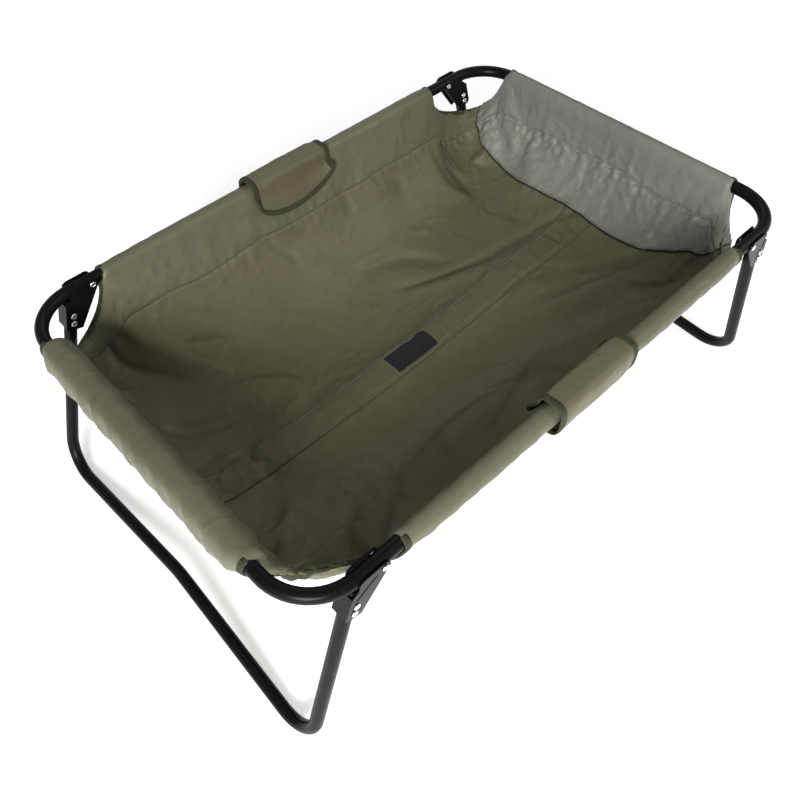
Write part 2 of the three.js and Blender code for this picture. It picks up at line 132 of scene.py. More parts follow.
# ---------- small tools ----------
def link(obj):
    bpy.context.scene.collection.objects.link(obj)
    return obj


def make_mesh(name, points, faces, material=None):
    mesh = bpy.data.meshes.new(name)
    mesh.from_pydata([tuple(map(float, p)) for p in points], [], [tuple(map(int, f)) for f in faces])
    mesh.update()
    mesh.polygons.foreach_set("use_smooth", [True] * len(mesh.polygons))
    obj = link(bpy.data.objects.new(name, mesh))
    if material:
        mesh.materials.append(material)
    return obj


def grid_faces(rows, cols, close_rows=False, close_cols=False):
    """Faces over a grid of points, which may close on itself either way."""
    faces = []
    for i in range(rows if close_rows else rows - 1):
        for j in range(cols if close_cols else cols - 1):
            a, b = i * cols + j, i * cols + (j + 1) % cols
            c, d = ((i + 1) % rows) * cols + (j + 1) % cols, ((i + 1) % rows) * cols + j
            faces.append((a, b, c, d))
    return faces


def unit(v):
    v = np.asarray(v, float)
    return v / np.maximum(np.linalg.norm(v, axis=-1, keepdims=True), 1e-12)


def smooth_step(x):
    x = np.clip(x, 0, 1)
    return x * x * (3 - 2 * x)


def wave_noise(u, v, scale, seed, octaves=3):
    """Smooth noise in about -1 to 1, from sums of sines with seeded directions and phases."""
    draw = np.random.default_rng(seed)
    total, weight = 0.0, 0.0
    for octave in range(octaves):
        freq = 2 * math.pi / scale * 1.9 ** octave
        amp = 0.55 ** octave
        for _ in range(4):
            angle, phase = draw.uniform(0, 2 * math.pi, 2)
            total = total + amp * np.sin(freq * (u * math.cos(angle) + v * math.sin(angle)) + phase)
        weight += 2 * amp
    return total / weight


def rounded(corners, radii, steps=10):
    """A polyline with each inner corner turned into an arc."""
    corners = [np.array(c, float) for c in corners]
    line = [corners[0]]
    for corner, before, after, radius in zip(corners[1:-1], corners, corners[2:], radii):
        back, ahead = unit(before - corner), unit(after - corner)
        half = math.acos(np.clip(back @ ahead, -1, 1)) / 2
        centre = corner + unit(back + ahead) * radius / math.sin(half)
        reach = radius / math.tan(half)
        a, b = corner + back * reach - centre, corner + ahead * reach - centre
        turn = math.acos(np.clip(unit(a) @ unit(b), -1, 1))
        count = max(2, math.ceil(turn / (math.pi / 2) * steps))
        for k in range(count + 1):
            t = k / count
            line.append(centre + (a * math.sin((1 - t) * turn) + b * math.sin(t * turn)) / math.sin(turn))
    line.append(corners[-1])
    return np.array(line)


def run_of(points):
    """Distances along a line of points, from its start."""
    return np.concatenate([[0], np.cumsum(np.linalg.norm(np.diff(points, axis=0), axis=1))])


def sample(want, along, rows):
    """A table's rows at the wanted distances, where along gives the distance of each row."""
    return np.stack([np.interp(want, along, rows[:, k]) for k in range(3)], axis=-1)


def resample(points, count):
    along = run_of(points)
    return sample(np.linspace(0, along[-1], count), along, points)


def even(path, *others, step=0.0028):
    """Resamples a path and what goes with it to an even step."""
    along = run_of(path)
    want = np.linspace(0, along[-1], max(6, int(along[-1] / step)))
    return [sample(want, along, rows) for rows in (path, *others)]


def soften(values, rounds=2):
    values = np.array(values, float)
    for _ in range(rounds):
        values[1:-1] = (values[:-2] + 2 * values[1:-1] + values[2:]) / 4
    return values


def frames_along(points):
    """Tangents and two parallel-carried normals along a line."""
    tangents = unit(np.gradient(points, axis=0))
    normal = np.cross(tangents[0], (0.0, 0.0, 1.0))
    if np.linalg.norm(normal) < 1e-3:       # the line starts straight up or down
        normal = np.array((1.0, 0.0, 0.0))
    normal = unit(normal)
    normals = []
    for t in tangents:
        normal = unit(normal - t * (normal @ t))
        normals.append(normal)
    normals = np.array(normals)
    return tangents, normals, np.cross(tangents, normals)


def end_caps(rings, sides):
    """The two faces that close a lofted piece at its ends."""
    return [tuple(range(sides))[::-1], tuple((rings - 1) * sides + k for k in range(sides))]


def tube_mesh(points, radius, sides=8, caps=True):
    """Points and faces of a round rope along a line."""
    _, n, b = frames_along(points)
    angle = np.linspace(0, 2 * math.pi, sides, endpoint=False)
    ring = np.cos(angle)[None, :, None] * n[:, None, :] + np.sin(angle)[None, :, None] * b[:, None, :]
    faces = grid_faces(len(points), sides, close_cols=True)
    if caps:
        faces += end_caps(len(points), sides)
    return (points[:, None, :] + ring * radius).reshape(-1, 3), faces


class Soup:
    """Gathers many small meshes into one object."""

    def __init__(self):
        self.points, self.faces, self.count = [], [], 0

    def add(self, points, faces):
        self.points.append(np.asarray(points, float))
        self.faces += [tuple(i + self.count for i in f) for f in faces]
        self.count += len(points)

    def build(self, name, material):
        return make_mesh(name, np.concatenate(self.points), self.faces, material)


def belong(obj, slot, body, *nodes):
    """Gives a piece the body that it moves with and the CAD nodes that it stands for; its finish, slot, is not
    used.
    """
    if nodes:
        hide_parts(*nodes)
    if body == OVER_HINGE:
        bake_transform(obj, "foot_frame", "head_frame", start=(-HINGE_BAND, 0, RAIL_Z), end=(HINGE_BAND, 0, RAIL_Z))
    else:
        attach(obj, body)


def thicken(obj, thickness):
    solid = obj.modifiers.new("thickness", "SOLIDIFY")
    solid.thickness, solid.offset = thickness, 0.0


def sheet_object(name, grid, material, thickness):
    obj = make_mesh(name, grid.reshape(-1, 3), grid_faces(*grid.shape[:2]), material)
    thicken(obj, thickness)
    return obj


# ---------- camera, light and floor ----------
CAMERA_PLACE = (-0.6269, -0.5833, 1.1078)
CAMERA_LOOK, CAMERA_RIGHT = (0.4009, 0.4653, -0.7891), (0.7366, -0.6759, -0.0243)
LIGHT_AIM = (0, 0, 0.2)
LIGHTS = (("key", (-2.15, -1.75, 1.40), 1.3, 133),      # name, place, size, watts
          ("fill", (1.9, -1.7, 2.0), 2.0, 24), ("back", (1.5, 1.8, 2.2), 1.6, 9))
WORLD_LIGHT = 0.37


def make_camera():
    data = bpy.data.cameras.new("camera")
    camera = link(bpy.data.objects.new("camera", data))
    look, right = Vector(CAMERA_LOOK).normalized(), Vector(CAMERA_RIGHT)
    right = (right - look * right.dot(look)).normalized()
    turn = Matrix((right, right.cross(look), -look)).transposed().to_4x4()
    turn.translation = CAMERA_PLACE
    camera.matrix_world = turn
    data.sensor_width, data.lens = 36, 35.52
    data.shift_x, data.shift_y = 0.0512, 0.0028
    data.clip_start = 0.01
    bpy.context.scene.camera = camera


def area_light(name, place, size, watts):
    data = bpy.data.lights.new(name, "AREA")
    data.shape, data.size, data.energy = "DISK", size, watts
    lamp = link(bpy.data.objects.new(name, data))
    lamp.location = place
    lamp.rotation_mode = "QUATERNION"
    lamp.rotation_quaternion = (Vector(LIGHT_AIM) - Vector(place)).to_track_quat("-Z", "Y")


def make_studio():
    world = bpy.data.worlds.new("studio")
    bpy.context.scene.world = world
    world.use_nodes = True
    background = world.node_tree.nodes["Background"]
    background.inputs["Color"].default_value = (1.0, 1.0, 1.0, 1)
    background.inputs["Strength"].default_value = WORLD_LIGHT
    for light in LIGHTS:
        area_light(*light)
    floor = make_mesh("floor", [(-9, -9, 0), (9, -9, 0), (9, 9, 0), (-9, 9, 0)], [(0, 1, 2, 3)],
                      flat_paint("floor_paint", (0.97, 0.97, 0.97), 0.7, 0.40))
    view = bpy.context.scene.view_settings
    view.view_transform, view.look = "Standard", "None"


# ---------- materials ----------
def plug(tree, socket, value):
    """Joins an output to a node's input, or sets the input's own value."""
    if isinstance(value, bpy.types.NodeSocket):
        tree.links.new(value, socket)
    else:
        socket.default_value = value


def add_node(tree, kind, inputs=None, **settings):
    node = tree.nodes.new(kind)
    for key, value in settings.items():
        setattr(node, key, value)
    for key, value in (inputs or {}).items():
        plug(tree, node.inputs[key], value)
    return node


def shade(color, gain=1.0):
    return (*[c * gain for c in color], 1)


class Nodes:
    """A short hand for a material's node tree."""

    def __init__(self, name):
        self.material = bpy.data.materials.new(name)
        self.material.use_nodes = True
        self.tree = self.material.node_tree
        self.shader = self.tree.nodes["Principled BSDF"]
        self.place = self.tree.nodes.new("ShaderNodeTexCoord").outputs["Object"]

    def new(self, kind, inputs=None, **settings):
        return add_node(self.tree, kind, inputs, **settings)

    def math(self, operation, a, b=0.0):
        return self.new("ShaderNodeMath", {0: a, 1: b}, operation=operation).outputs[0]

    def wave(self, value, pitch):
        return self.math("SINE", self.math("MULTIPLY", value, 2 * math.pi / pitch))

    def axes(self):
        return self.new("ShaderNodeSeparateXYZ", {0: self.place}).outputs

    def noise(self, scale, detail=3.0, place=None, rough=0.5):
        return self.new("ShaderNodeTexNoise", {"Vector": place or self.place, "Scale": scale,
                                               "Detail": detail, "Roughness": rough}).outputs["Fac"]

    def ramp(self, value, low, high, to_low, to_high):
        return self.new("ShaderNodeMapRange", {"Value": value, "From Min": low, "From Max": high,
                                               "To Min": to_low, "To Max": to_high}).outputs["Result"]

    def mix(self, factor, a, b):
        return self.new("ShaderNodeMix", {0: factor, 6: a, 7: b}, data_type="RGBA").outputs[2]

    def bump(self, height, strength, distance, below=None):
        inputs = {"Height": height, "Strength": strength, "Distance": distance}
        if below is not None:
            inputs["Normal"] = below
        return self.new("ShaderNodeBump", inputs).outputs["Normal"]

    def set(self, **inputs):
        for key, value in inputs.items():
            plug(self.tree, self.shader.inputs[key.replace("_", " ")], value)
        return self.material


def flat_paint(name, color, roughness, glow):
    n = Nodes(name)
    cloud = n.ramp(n.noise(0.7), 0.3, 0.7, 0.98, 1.0)
    tint = n.mix(cloud, shade(color, 0.9), shade(color))
    return n.set(Base_Color=tint, Roughness=roughness, Emission_Color=(1, 1, 1, 1), Emission_Strength=glow)


def coated_nylon(name, color, light, roughness=0.46, crease=1.0):
    """Coated nylon: a fine, tight weave, soft creases, and a slight sheen."""
    n = Nodes(name)
    x, y, z = n.axes()
    weave = n.math("MULTIPLY", n.wave(x, THREAD_PITCH), n.wave(n.math("ADD", y, z), THREAD_PITCH))
    patches = n.noise(4.5, 4.0)
    fine = n.noise(60.0, 3.0)
    tint = n.mix(n.ramp(patches, 0.35, 0.65, 0.0, 1.0), shade(color), shade(light))
    tint = n.mix(n.ramp(fine, 0.3, 0.7, 0.0, 0.22), tint, shade(color, 0.72))
    tint = n.mix(n.ramp(weave, -1, 1, 0.0, 0.10), tint, shade(light, 1.5))
    folds = n.noise(17.0, 4.0, rough=0.55)
    crush = n.noise(95.0, 3.0, rough=0.6)
    normal = n.bump(weave, 0.10, 0.0002)
    normal = n.bump(crush, 0.16 * crease, 0.0010, normal)
    normal = n.bump(folds, 0.20 * crease, 0.0050, normal)
    drawn = n.new("ShaderNodeVectorMath", {0: n.place, 1: (0.55, 1.1, 0.9)}, operation="MULTIPLY").outputs[0]
    ridge = n.math("ABSOLUTE", n.math("SUBTRACT", n.noise(12.0, 2.0, drawn, 0.5), 0.5))
    normal = n.bump(n.ramp(ridge, 0.0, 0.05, 1.0, 0.0), 0.22 * crease, 0.0024, normal)
    rough = n.ramp(fine, 0.2, 0.8, roughness - 0.05, roughness + 0.08)
    return n.set(Base_Color=tint, Roughness=rough, Normal=normal, Sheen_Weight=0.07,
                 Sheen_Roughness=0.4, Specular_IOR_Level=0.34, Specular_Tint=(0.86, 0.86, 0.66, 1))


def woven_tape(name, color, light, pitch=0.0016):
    """Woven binding or webbing with visible ribs."""
    n = Nodes(name)
    x, y, z = n.axes()
    rib = n.wave(n.math("ADD", n.math("ADD", x, y), z), pitch)
    cross = n.wave(n.math("SUBTRACT", x, n.math("ADD", y, z)), pitch * 0.7)
    weave = n.math("MULTIPLY", rib, cross)
    blotch = n.noise(40.0, 3.0)
    tint = n.mix(n.ramp(weave, -1, 1, 0.0, 0.45), shade(color), shade(light))
    tint = n.mix(n.ramp(blotch, 0.35, 0.7, 0.0, 0.35), tint, shade(color, 0.6))
    normal = n.bump(weave, 0.35, 0.0004)
    return n.set(Base_Color=tint, Roughness=n.ramp(blotch, 0.2, 0.8, 0.78, 0.95), Normal=normal,
                 Sheen_Weight=0.04, Sheen_Roughness=0.5, Specular_IOR_Level=0.25)


def powder_coat(name):
    """Satin black powder coat on steel, with its fine orange peel, dust and worn spots."""
    n = Nodes(name)
    peel = n.noise(420.0, 2.0)
    dust = n.noise(18.0, 5.0, rough=0.65)
    worn = n.noise(55.0, 6.0, rough=0.7)
    black, dusty, bare = (0.0034, 0.0036, 0.0043, 1), (0.0080, 0.0084, 0.0094, 1), (0.040, 0.041, 0.042, 1)
    tint = n.mix(n.ramp(dust, 0.42, 0.75, 0.0, 0.6), black, dusty)
    tint = n.mix(n.ramp(worn, 0.68, 0.76, 0.0, 0.4), tint, bare)
    rough = n.ramp(n.math("ADD", n.math("MULTIPLY", dust, 0.6), n.math("MULTIPLY", peel, 0.4)),
                   0.3, 0.7, 0.25, 0.37)
    normal = n.bump(peel, 0.12, 0.0004)
    return n.set(Base_Color=tint, Roughness=rough, Normal=normal, Metallic=0.0,
                 Specular_IOR_Level=0.08, Coat_Weight=0.01, Coat_Roughness=0.20)


def bright_zinc(name):
    """Zinc plate on the rivets, with its spangle and some grime."""
    n = Nodes(name)
    spangle = n.noise(260.0, 4.0, rough=0.7)
    grime = n.noise(90.0, 3.0)
    tint = n.mix(n.ramp(spangle, 0.3, 0.7, 0.0, 1.0), (0.60, 0.61, 0.62, 1), (0.80, 0.80, 0.79, 1))
    tint = n.mix(n.ramp(grime, 0.55, 0.75, 0.0, 0.5), tint, (0.30, 0.29, 0.27, 1))
    return n.set(Base_Color=tint, Metallic=0.95, Roughness=n.ramp(spangle, 0.3, 0.7, 0.20, 0.38),
                 Normal=n.bump(spangle, 0.15, 0.0003))


def hook_and_loop(name):
    """Black hook tape: rows of small hooks with fuzz caught in them."""
    n = Nodes(name)
    hooks = n.new("ShaderNodeTexVoronoi", {"Vector": n.place, "Scale": 950.0}).outputs["Distance"]
    fuzz = n.noise(700.0, 3.0)
    tint = n.mix(n.ramp(hooks, 0.1, 0.7, 0.0, 1.0), (0.020, 0.020, 0.020, 1), (0.004, 0.004, 0.004, 1))
    tint = n.mix(n.ramp(fuzz, 0.55, 0.8, 0.0, 0.4), tint, (0.030, 0.029, 0.026, 1))
    return n.set(Base_Color=tint, Roughness=0.95, Normal=n.bump(hooks, 0.8, 0.0010),
                 Sheen_Weight=0.06, Sheen_Roughness=0.6, Specular_IOR_Level=0.2)


def spun_thread(name, color):
    n = Nodes(name)
    twist = n.noise(1400.0, 2.0)
    tint = n.mix(n.ramp(twist, 0.3, 0.7, 0.0, 1.0), shade(color, 0.6), shade(color))
    return n.set(Base_Color=tint, Roughness=0.75, Normal=n.bump(twist, 0.4, 0.0002))


# ---------- steel ----------
def leg_x(z):
    return LEG_TOP_X + math.tan(TILT) * (RAIL_Z - z)


def frame_line(end):
    x = end * HALF_LENGTH
    start = end * 0.0003
    return rounded([(start, -HALF_WIDTH, RAIL_Z), (x, -HALF_WIDTH, RAIL_Z), (x, HALF_WIDTH, RAIL_Z),
                    (start, HALF_WIDTH, RAIL_Z)], [CORNER_R, CORNER_R], 14)


def leg_line(end, foot_z=0.0):
    """The same route as the CAD leg, with its lowest point one tube radius above the floor."""
    s = LEG_STRAIGHT
    straight = (end * (LEG_TOP_X + s * math.sin(TILT)), RAIL_Z - s * math.cos(TILT))
    foot_y = HALF_WIDTH + LEG_SPREAD_Y
    right = [(end * leg_x(LEG_TOP_Z), -HALF_WIDTH, LEG_TOP_Z), (straight[0], -HALF_WIDTH, straight[1]),
             (end * leg_x(foot_z), -foot_y, foot_z)]
    left = [(x, -y, z) for x, y, z in reversed(right)]
    middle = (end * leg_x(foot_z + LEG_ARCH), 0.0, foot_z + LEG_ARCH)
    return rounded([*right, middle, *left],
                   [LEG_SPLAY_R, LEG_BEND_R, LEG_ARCH_R, LEG_BEND_R, LEG_SPLAY_R], 14)


def hollow_tube(name, line, material, sides=32):
    """A tube with its wall showing at both open ends."""
    outer, faces = tube_mesh(line, TUBE_R, sides, caps=False)
    inner, inner_faces = tube_mesh(line, TUBE_R - TUBE_WALL, sides, caps=False)
    base = len(outer)
    faces += [tuple(base + i for i in reversed(f)) for f in inner_faces]
    last = (len(line) - 1) * sides
    for k in range(sides):
        j = (k + 1) % sides
        faces.append((j, k, base + k, base + j))
        faces.append((last + k, last + j, base + last + j, base + last + k))
    return make_mesh(name, np.concatenate([outer, inner]), faces, material)


def make_tubes(black):
    for end_name, end in ENDS:
        rail = hollow_tube(f"{end_name}_rail", frame_line(end), black)
        belong(rail, "black_steel", f"{end_name}_frame", f"{end_name}_frame_tube")
        low = leg_line(end)[:, 2].min()
        leg = hollow_tube(f"{end_name}_leg", leg_line(end, TUBE_R - low), black)
        belong(leg, "black_steel", f"{end_name}_leg", f"{end_name}_leg_tube")


def turned_rivet(name, node, body, material, sides=28):
    """A tubular rivet: a flared, rolled head round a hole at each end."""
    low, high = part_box(node)
    x, z = (low.x + high.x) / 2, (low.z + high.z) / 2
    r, half, mid = (high.z - low.z) / 2, (high.y - low.y) / 2, (low.y + high.y) / 2
    hole = r * 0.34
    face = half - 0.0019
    profile = [(hole, 0.0), (hole, half - 0.0012), (hole * 1.25, half - 0.0004), (r * 0.62, half),
               (r * 0.86, half - 0.0005), (r, half - 0.0013), (r * 0.985, face), (r * 0.6, face),
               (r * 0.6, 0.0)]
    outline = profile + [(a, -b) for a, b in reversed(profile[:-1])][:-1]
    angle = np.linspace(0, 2 * math.pi, sides, endpoint=False)
    points = [(x + a * math.cos(t), mid + b, z + a * math.sin(t)) for a, b in outline for t in angle]
    rivet = make_mesh(name, points, grid_faces(len(outline), sides, close_rows=True, close_cols=True),
                      material)
    bevel = rivet.modifiers.new("soft", "SUBSURF")
    bevel.levels = bevel.render_levels = 1
    belong(rivet, "zinc_rivet", body, node)


def make_hardware(black, zinc):
    for body, nodes in frame["record"]["behaviour"]["bodies"].items():
        for node in nodes:
            if "rivet" in node or node.endswith("hinge_pin"):
                turned_rivet(f"{node}_turned", node, body, zinc)
            elif node.endswith(("bracket", "hinge_leaf")):
                part = frame["nodes"][node]
                part.data.materials.clear()
                part.data.materials.append(black)
                edge = part.modifiers.new("edge", "BEVEL")
                edge.width, edge.segments, edge.limit_method = 0.0005, 2, "ANGLE"
                edge.angle_limit = math.radians(35)
                part.modifiers.new("shade", "WEIGHTED_NORMAL").keep_sharp = True


# ---------- sling ----------
def profile_at(profile, value):
    """A profile point at value, counted in knots, by a smooth curve through the knots."""
    pts = np.array(profile)
    value = np.clip(value, 0, len(pts) - 1)
    i = np.minimum(np.floor(value).astype(int), len(pts) - 2)
    f = (value - i)[..., None]
    p0, p1 = pts[np.maximum(i - 1, 0)], pts[i]
    p2, p3 = pts[i + 1], pts[np.minimum(i + 2, len(pts) - 1)]
    return 0.5 * (2 * p1 + (p2 - p0) * f + (2 * p0 - 5 * p1 + 4 * p2 - p3) * f ** 2
                  + (3 * p1 - p0 - 3 * p2 + p3) * f ** 3)


def profile_knots(profile, cells):
    """The knot value of each grid line of half a sheet, from the edge in, evenly by length."""
    dense = np.linspace(0, len(profile) - 1, 1200)
    pts = profile_at(profile, dense)
    along = run_of(pts)
    return np.interp(np.linspace(0, along[-1], cells + 1), along, dense)


KNOTS_S = {end: profile_knots(profile, GRID_S // 2) for end, profile in END_PROFILES.items()}
KNOTS_T = profile_knots(SIDE_PROFILE, GRID_T // 2)


def sling_rest():
    """The sling before it is simulated: a tub between the rails, cut out at its four corners."""
    half_t = GRID_T // 2
    knots_t = np.concatenate([KNOTS_T, KNOTS_T[-2::-1]])
    sign_t = np.where(np.arange(GRID_T + 1) < half_t, -1.0, 1.0)
    halves = {end: profile_at(profile, KNOTS_S[end]) * (end, 1) for end, profile in END_PROFILES.items()}
    ends, sides = np.concatenate([halves[-1], halves[1][-2::-1]]), profile_at(SIDE_PROFILE, knots_t)
    x = np.repeat(ends[:, 0][:, None], GRID_T + 1, axis=1)
    y = np.repeat((sides[:, 0] * sign_t)[None, :], GRID_S + 1, axis=0)
    rise = (np.maximum(ends[:, 1] - FLOOR_LOW, 0)[:, None] ** CORNER_POWER
            + np.maximum(sides[:, 1] - FLOOR_LOW, 0)[None, :] ** CORNER_POWER) ** (1 / CORNER_POWER)
    rest = np.stack([x, y, FLOOR_LOW + rise], axis=-1)
    for end_name, end in ENDS:
        for side_name, side in SIDES:
            cut_corner(rest, CORNERS[(end_name, side_name)], end, side)
    return rest


def swoop(top, low, course, count):
    """A smooth edge that leaves the rail straight down and reaches the low point going along course."""
    reach = np.linalg.norm(low - top)
    u = (np.arange(count) + 1)[:, None] / count
    inset = low - top
    start = np.array([0.3 * inset[0], 0.3 * inset[1], -1.5 * reach])
    return ((2 * u ** 3 - 3 * u ** 2 + 1) * top + (u ** 3 - 2 * u ** 2 + u) * start
            + (3 * u ** 2 - 2 * u ** 3) * low + (u ** 3 - u ** 2) * course * reach * 1.1)


def cut_corner(rest, corner, end, side):
    """Pulls the sheet's corner down to its cut-out: the two edges become the arc's two halves."""
    half_s, half_t = GRID_S // 2, GRID_T // 2
    rows = np.arange(half_s + 1) if end < 0 else np.arange(GRID_S, half_s - 1, -1)
    cols = np.arange(half_t + 1) if side < 0 else np.arange(GRID_T, half_t - 1, -1)
    patch = rest[np.ix_(rows, cols)].copy()
    sign = np.array([end, side, 1.0])
    patch *= sign
    low = np.array(corner["low"])
    # both edges start at the corner: the side edge runs along the side rail, the end edge along the end's
    n_side = int(np.searchsorted(-patch[:, 0, 0], -corner["rail_x"]))
    n_end = int(np.searchsorted(-patch[0, :, 1], -corner["rail_y"]))
    side_edge, end_edge = patch[:, 0].copy(), patch[0, :].copy()
    side_edge[n_side:, 2] = end_edge[n_end:, 2] = RAIL_TOP
    side_top = np.array([corner["rail_x"], HALF_WIDTH, RAIL_TOP])
    end_top = np.array([HALF_LENGTH, corner["rail_y"], RAIL_TOP])
    course = unit((end_top - side_top) * (1, 1, 0))
    side_edge[:n_side] = swoop(side_top, low, course, n_side)[::-1]
    end_edge[:n_end] = swoop(end_top, low, -course, n_end)[::-1]
    fade_t = (1 - smooth_step(np.arange(len(cols)) / (0.62 * len(cols))))[None, :, None]
    fade_s = (1 - smooth_step(np.arange(len(rows)) / (0.42 * len(rows))))[:, None, None]
    side_gap = (side_edge - patch[:, 0])[:, None, :]
    end_gap = (end_edge - patch[0, :])[None, :, :]
    corner_gap = (side_edge[0] - patch[0, 0])[None, None, :]
    patch += side_gap * fade_t + end_gap * fade_s - corner_gap * fade_s * fade_t
    below = patch[..., 2]
    depth = smooth_step((low[2] + 0.004 - below) / 0.056) * smooth_step((below - FLOOR_LOW - 0.003) / 0.055)
    tuck = corner.get("tuck", 0.0) * depth * np.sqrt(fade_s * fade_t)[..., 0]
    patch -= np.array((0.6, 0.8, 0.0)) * tuck[..., None]
    rest[np.ix_(rows, cols)] = patch * sign


class Surface:
    """A grid of points that other pieces are laid on: place(s, t) and its normal, s and t from -1 to 1."""

    def __init__(self, grid):
        self.grid = grid
        self.rows, self.cols = grid.shape[:2]

    def place(self, s, t):
        u = (np.asarray(s, float) + 1) / 2 * (self.rows - 1)
        v = (np.asarray(t, float) + 1) / 2 * (self.cols - 1)
        u, v = np.broadcast_arrays(u, v)
        total = 0
        iu, iv = np.floor(u).astype(int), np.floor(v).astype(int)
        fu, fv = u - iu, v - iv
        for a, wu in zip(range(-1, 3), self.weights(fu)):
            for b, wv in zip(range(-1, 3), self.weights(fv)):
                point = self.grid[np.clip(iu + a, 0, self.rows - 1), np.clip(iv + b, 0, self.cols - 1)]
                total = total + (wu * wv)[..., None] * point
        return total

    @staticmethod
    def weights(f):
        return (0.5 * (-f + 2 * f ** 2 - f ** 3), 0.5 * (2 - 5 * f ** 2 + 3 * f ** 3),
                0.5 * (f + 4 * f ** 2 - 3 * f ** 3), 0.5 * (-f ** 2 + f ** 3))

    def normal(self, s, t):
        """Up and into the sling."""
        h = 0.004
        s, t = np.asarray(s, float), np.asarray(t, float)
        along = self.place(np.minimum(s + h, 1), t) - self.place(np.maximum(s - h, -1), t)
        across = self.place(s, np.minimum(t + h, 1)) - self.place(s, np.maximum(t - h, -1))
        return unit(np.cross(along, across))

    def off(self, s, t, height):
        return self.place(s, t) + self.normal(s, t) * np.asarray(height)[..., None]


def edge_share(half, knots, knot):
    """Where along a half sheet's grid a profile knot falls, as s or t."""
    return 1 - float(np.interp(knot, knots, np.arange(half + 1))) / half


def side_t(knot):
    return edge_share(GRID_T // 2, KNOTS_T, knot)


def end_s(knot, end=1):
    return edge_share(GRID_S // 2, KNOTS_S[end], knot)


def held_weights(rest):
    """How firmly each point keeps its place: rails fully, the strip and the corner edges a little."""
    s = np.linspace(-1, 1, GRID_S + 1)[:, None]
    t = np.linspace(-1, 1, GRID_T + 1)[None, :]
    weight = np.full(rest.shape[:2], 0.045)
    weight[rest[..., 2] > RAIL_Z - 0.004] = 1.0
    band = np.maximum(smooth_step((np.abs(t) - side_t(5.2)) / 0.03),
                      smooth_step((np.abs(s) - end_s(5)) / 0.03))
    weight = np.maximum(weight, 0.10 * band)
    strip = np.exp(-((rest[..., 1] + 0.003) / 0.035) ** 2) * (np.abs(s) < 0.97)
    weight = np.maximum(weight, 0.35 * strip)
    weight = np.maximum(weight, 0.5 * ((np.abs(t) > 0.985) | (np.abs(s) > 0.985)))
    return np.clip(weight, 0, 1)


CLOTH = dict(quality=7, mass=0.12, tension_stiffness=22, compression_stiffness=22, shear_stiffness=9,
             bending_stiffness=4.0, tension_damping=6, compression_damping=6, air_damping=3,
             vertex_group_mass="held", pin_stiffness=1.0, shrink_min=0.0, shrink_max=-0.018,
             vertex_group_shrink="slack")
HANG_FRAMES = 26


def simulate(rest):
    """Hangs the sling by cloth simulation: the rails hold it, it has a little more cloth than it needs."""
    start = rest.copy()
    free = smooth_step((RAIL_Z - rest[..., 2]) / 0.05)
    start[..., 2] += 0.0045 * free * wave_noise(rest[..., 0], rest[..., 1], 0.200, 11, 2)
    obj = make_mesh("sling_cloth", start.reshape(-1, 3), grid_faces(GRID_S + 1, GRID_T + 1))
    for name, weights in (("held", held_weights(rest)), ("slack", free)):
        group = obj.vertex_groups.new(name=name)
        for index, weight in enumerate(weights.ravel()):
            group.add([index], float(weight), "REPLACE")
    cloth = obj.modifiers.new("cloth", "CLOTH")
    for key, value in CLOTH.items():
        setattr(cloth.settings, key, value)
    cloth.collision_settings.use_collision = False
    scene = bpy.context.scene
    cloth.point_cache.frame_start, cloth.point_cache.frame_end = 1, HANG_FRAMES
    for number in range(1, HANG_FRAMES + 1):
        scene.frame_set(number)
    done = obj.evaluated_get(bpy.context.evaluated_depsgraph_get()).to_mesh()
    hung = np.array([vertex.co for vertex in done.vertices]).reshape(rest.shape)
    scene.frame_set(1)
    bpy.data.objects.remove(obj)
    return hung


def puckers(s_line, u, depth, pitch, seed):
    """Short gathers across a seam: u runs along it, depth is the distance from it."""
    bend = 0.35 * pitch * wave_noise(u, depth * 2, 0.05, seed)
    wave = np.sin(2 * math.pi * (u + bend) / pitch + 1.7 * wave_noise(u, u * 0, 0.09, seed + 1))
    return wave * np.exp(-np.maximum(depth, 0) / s_line)


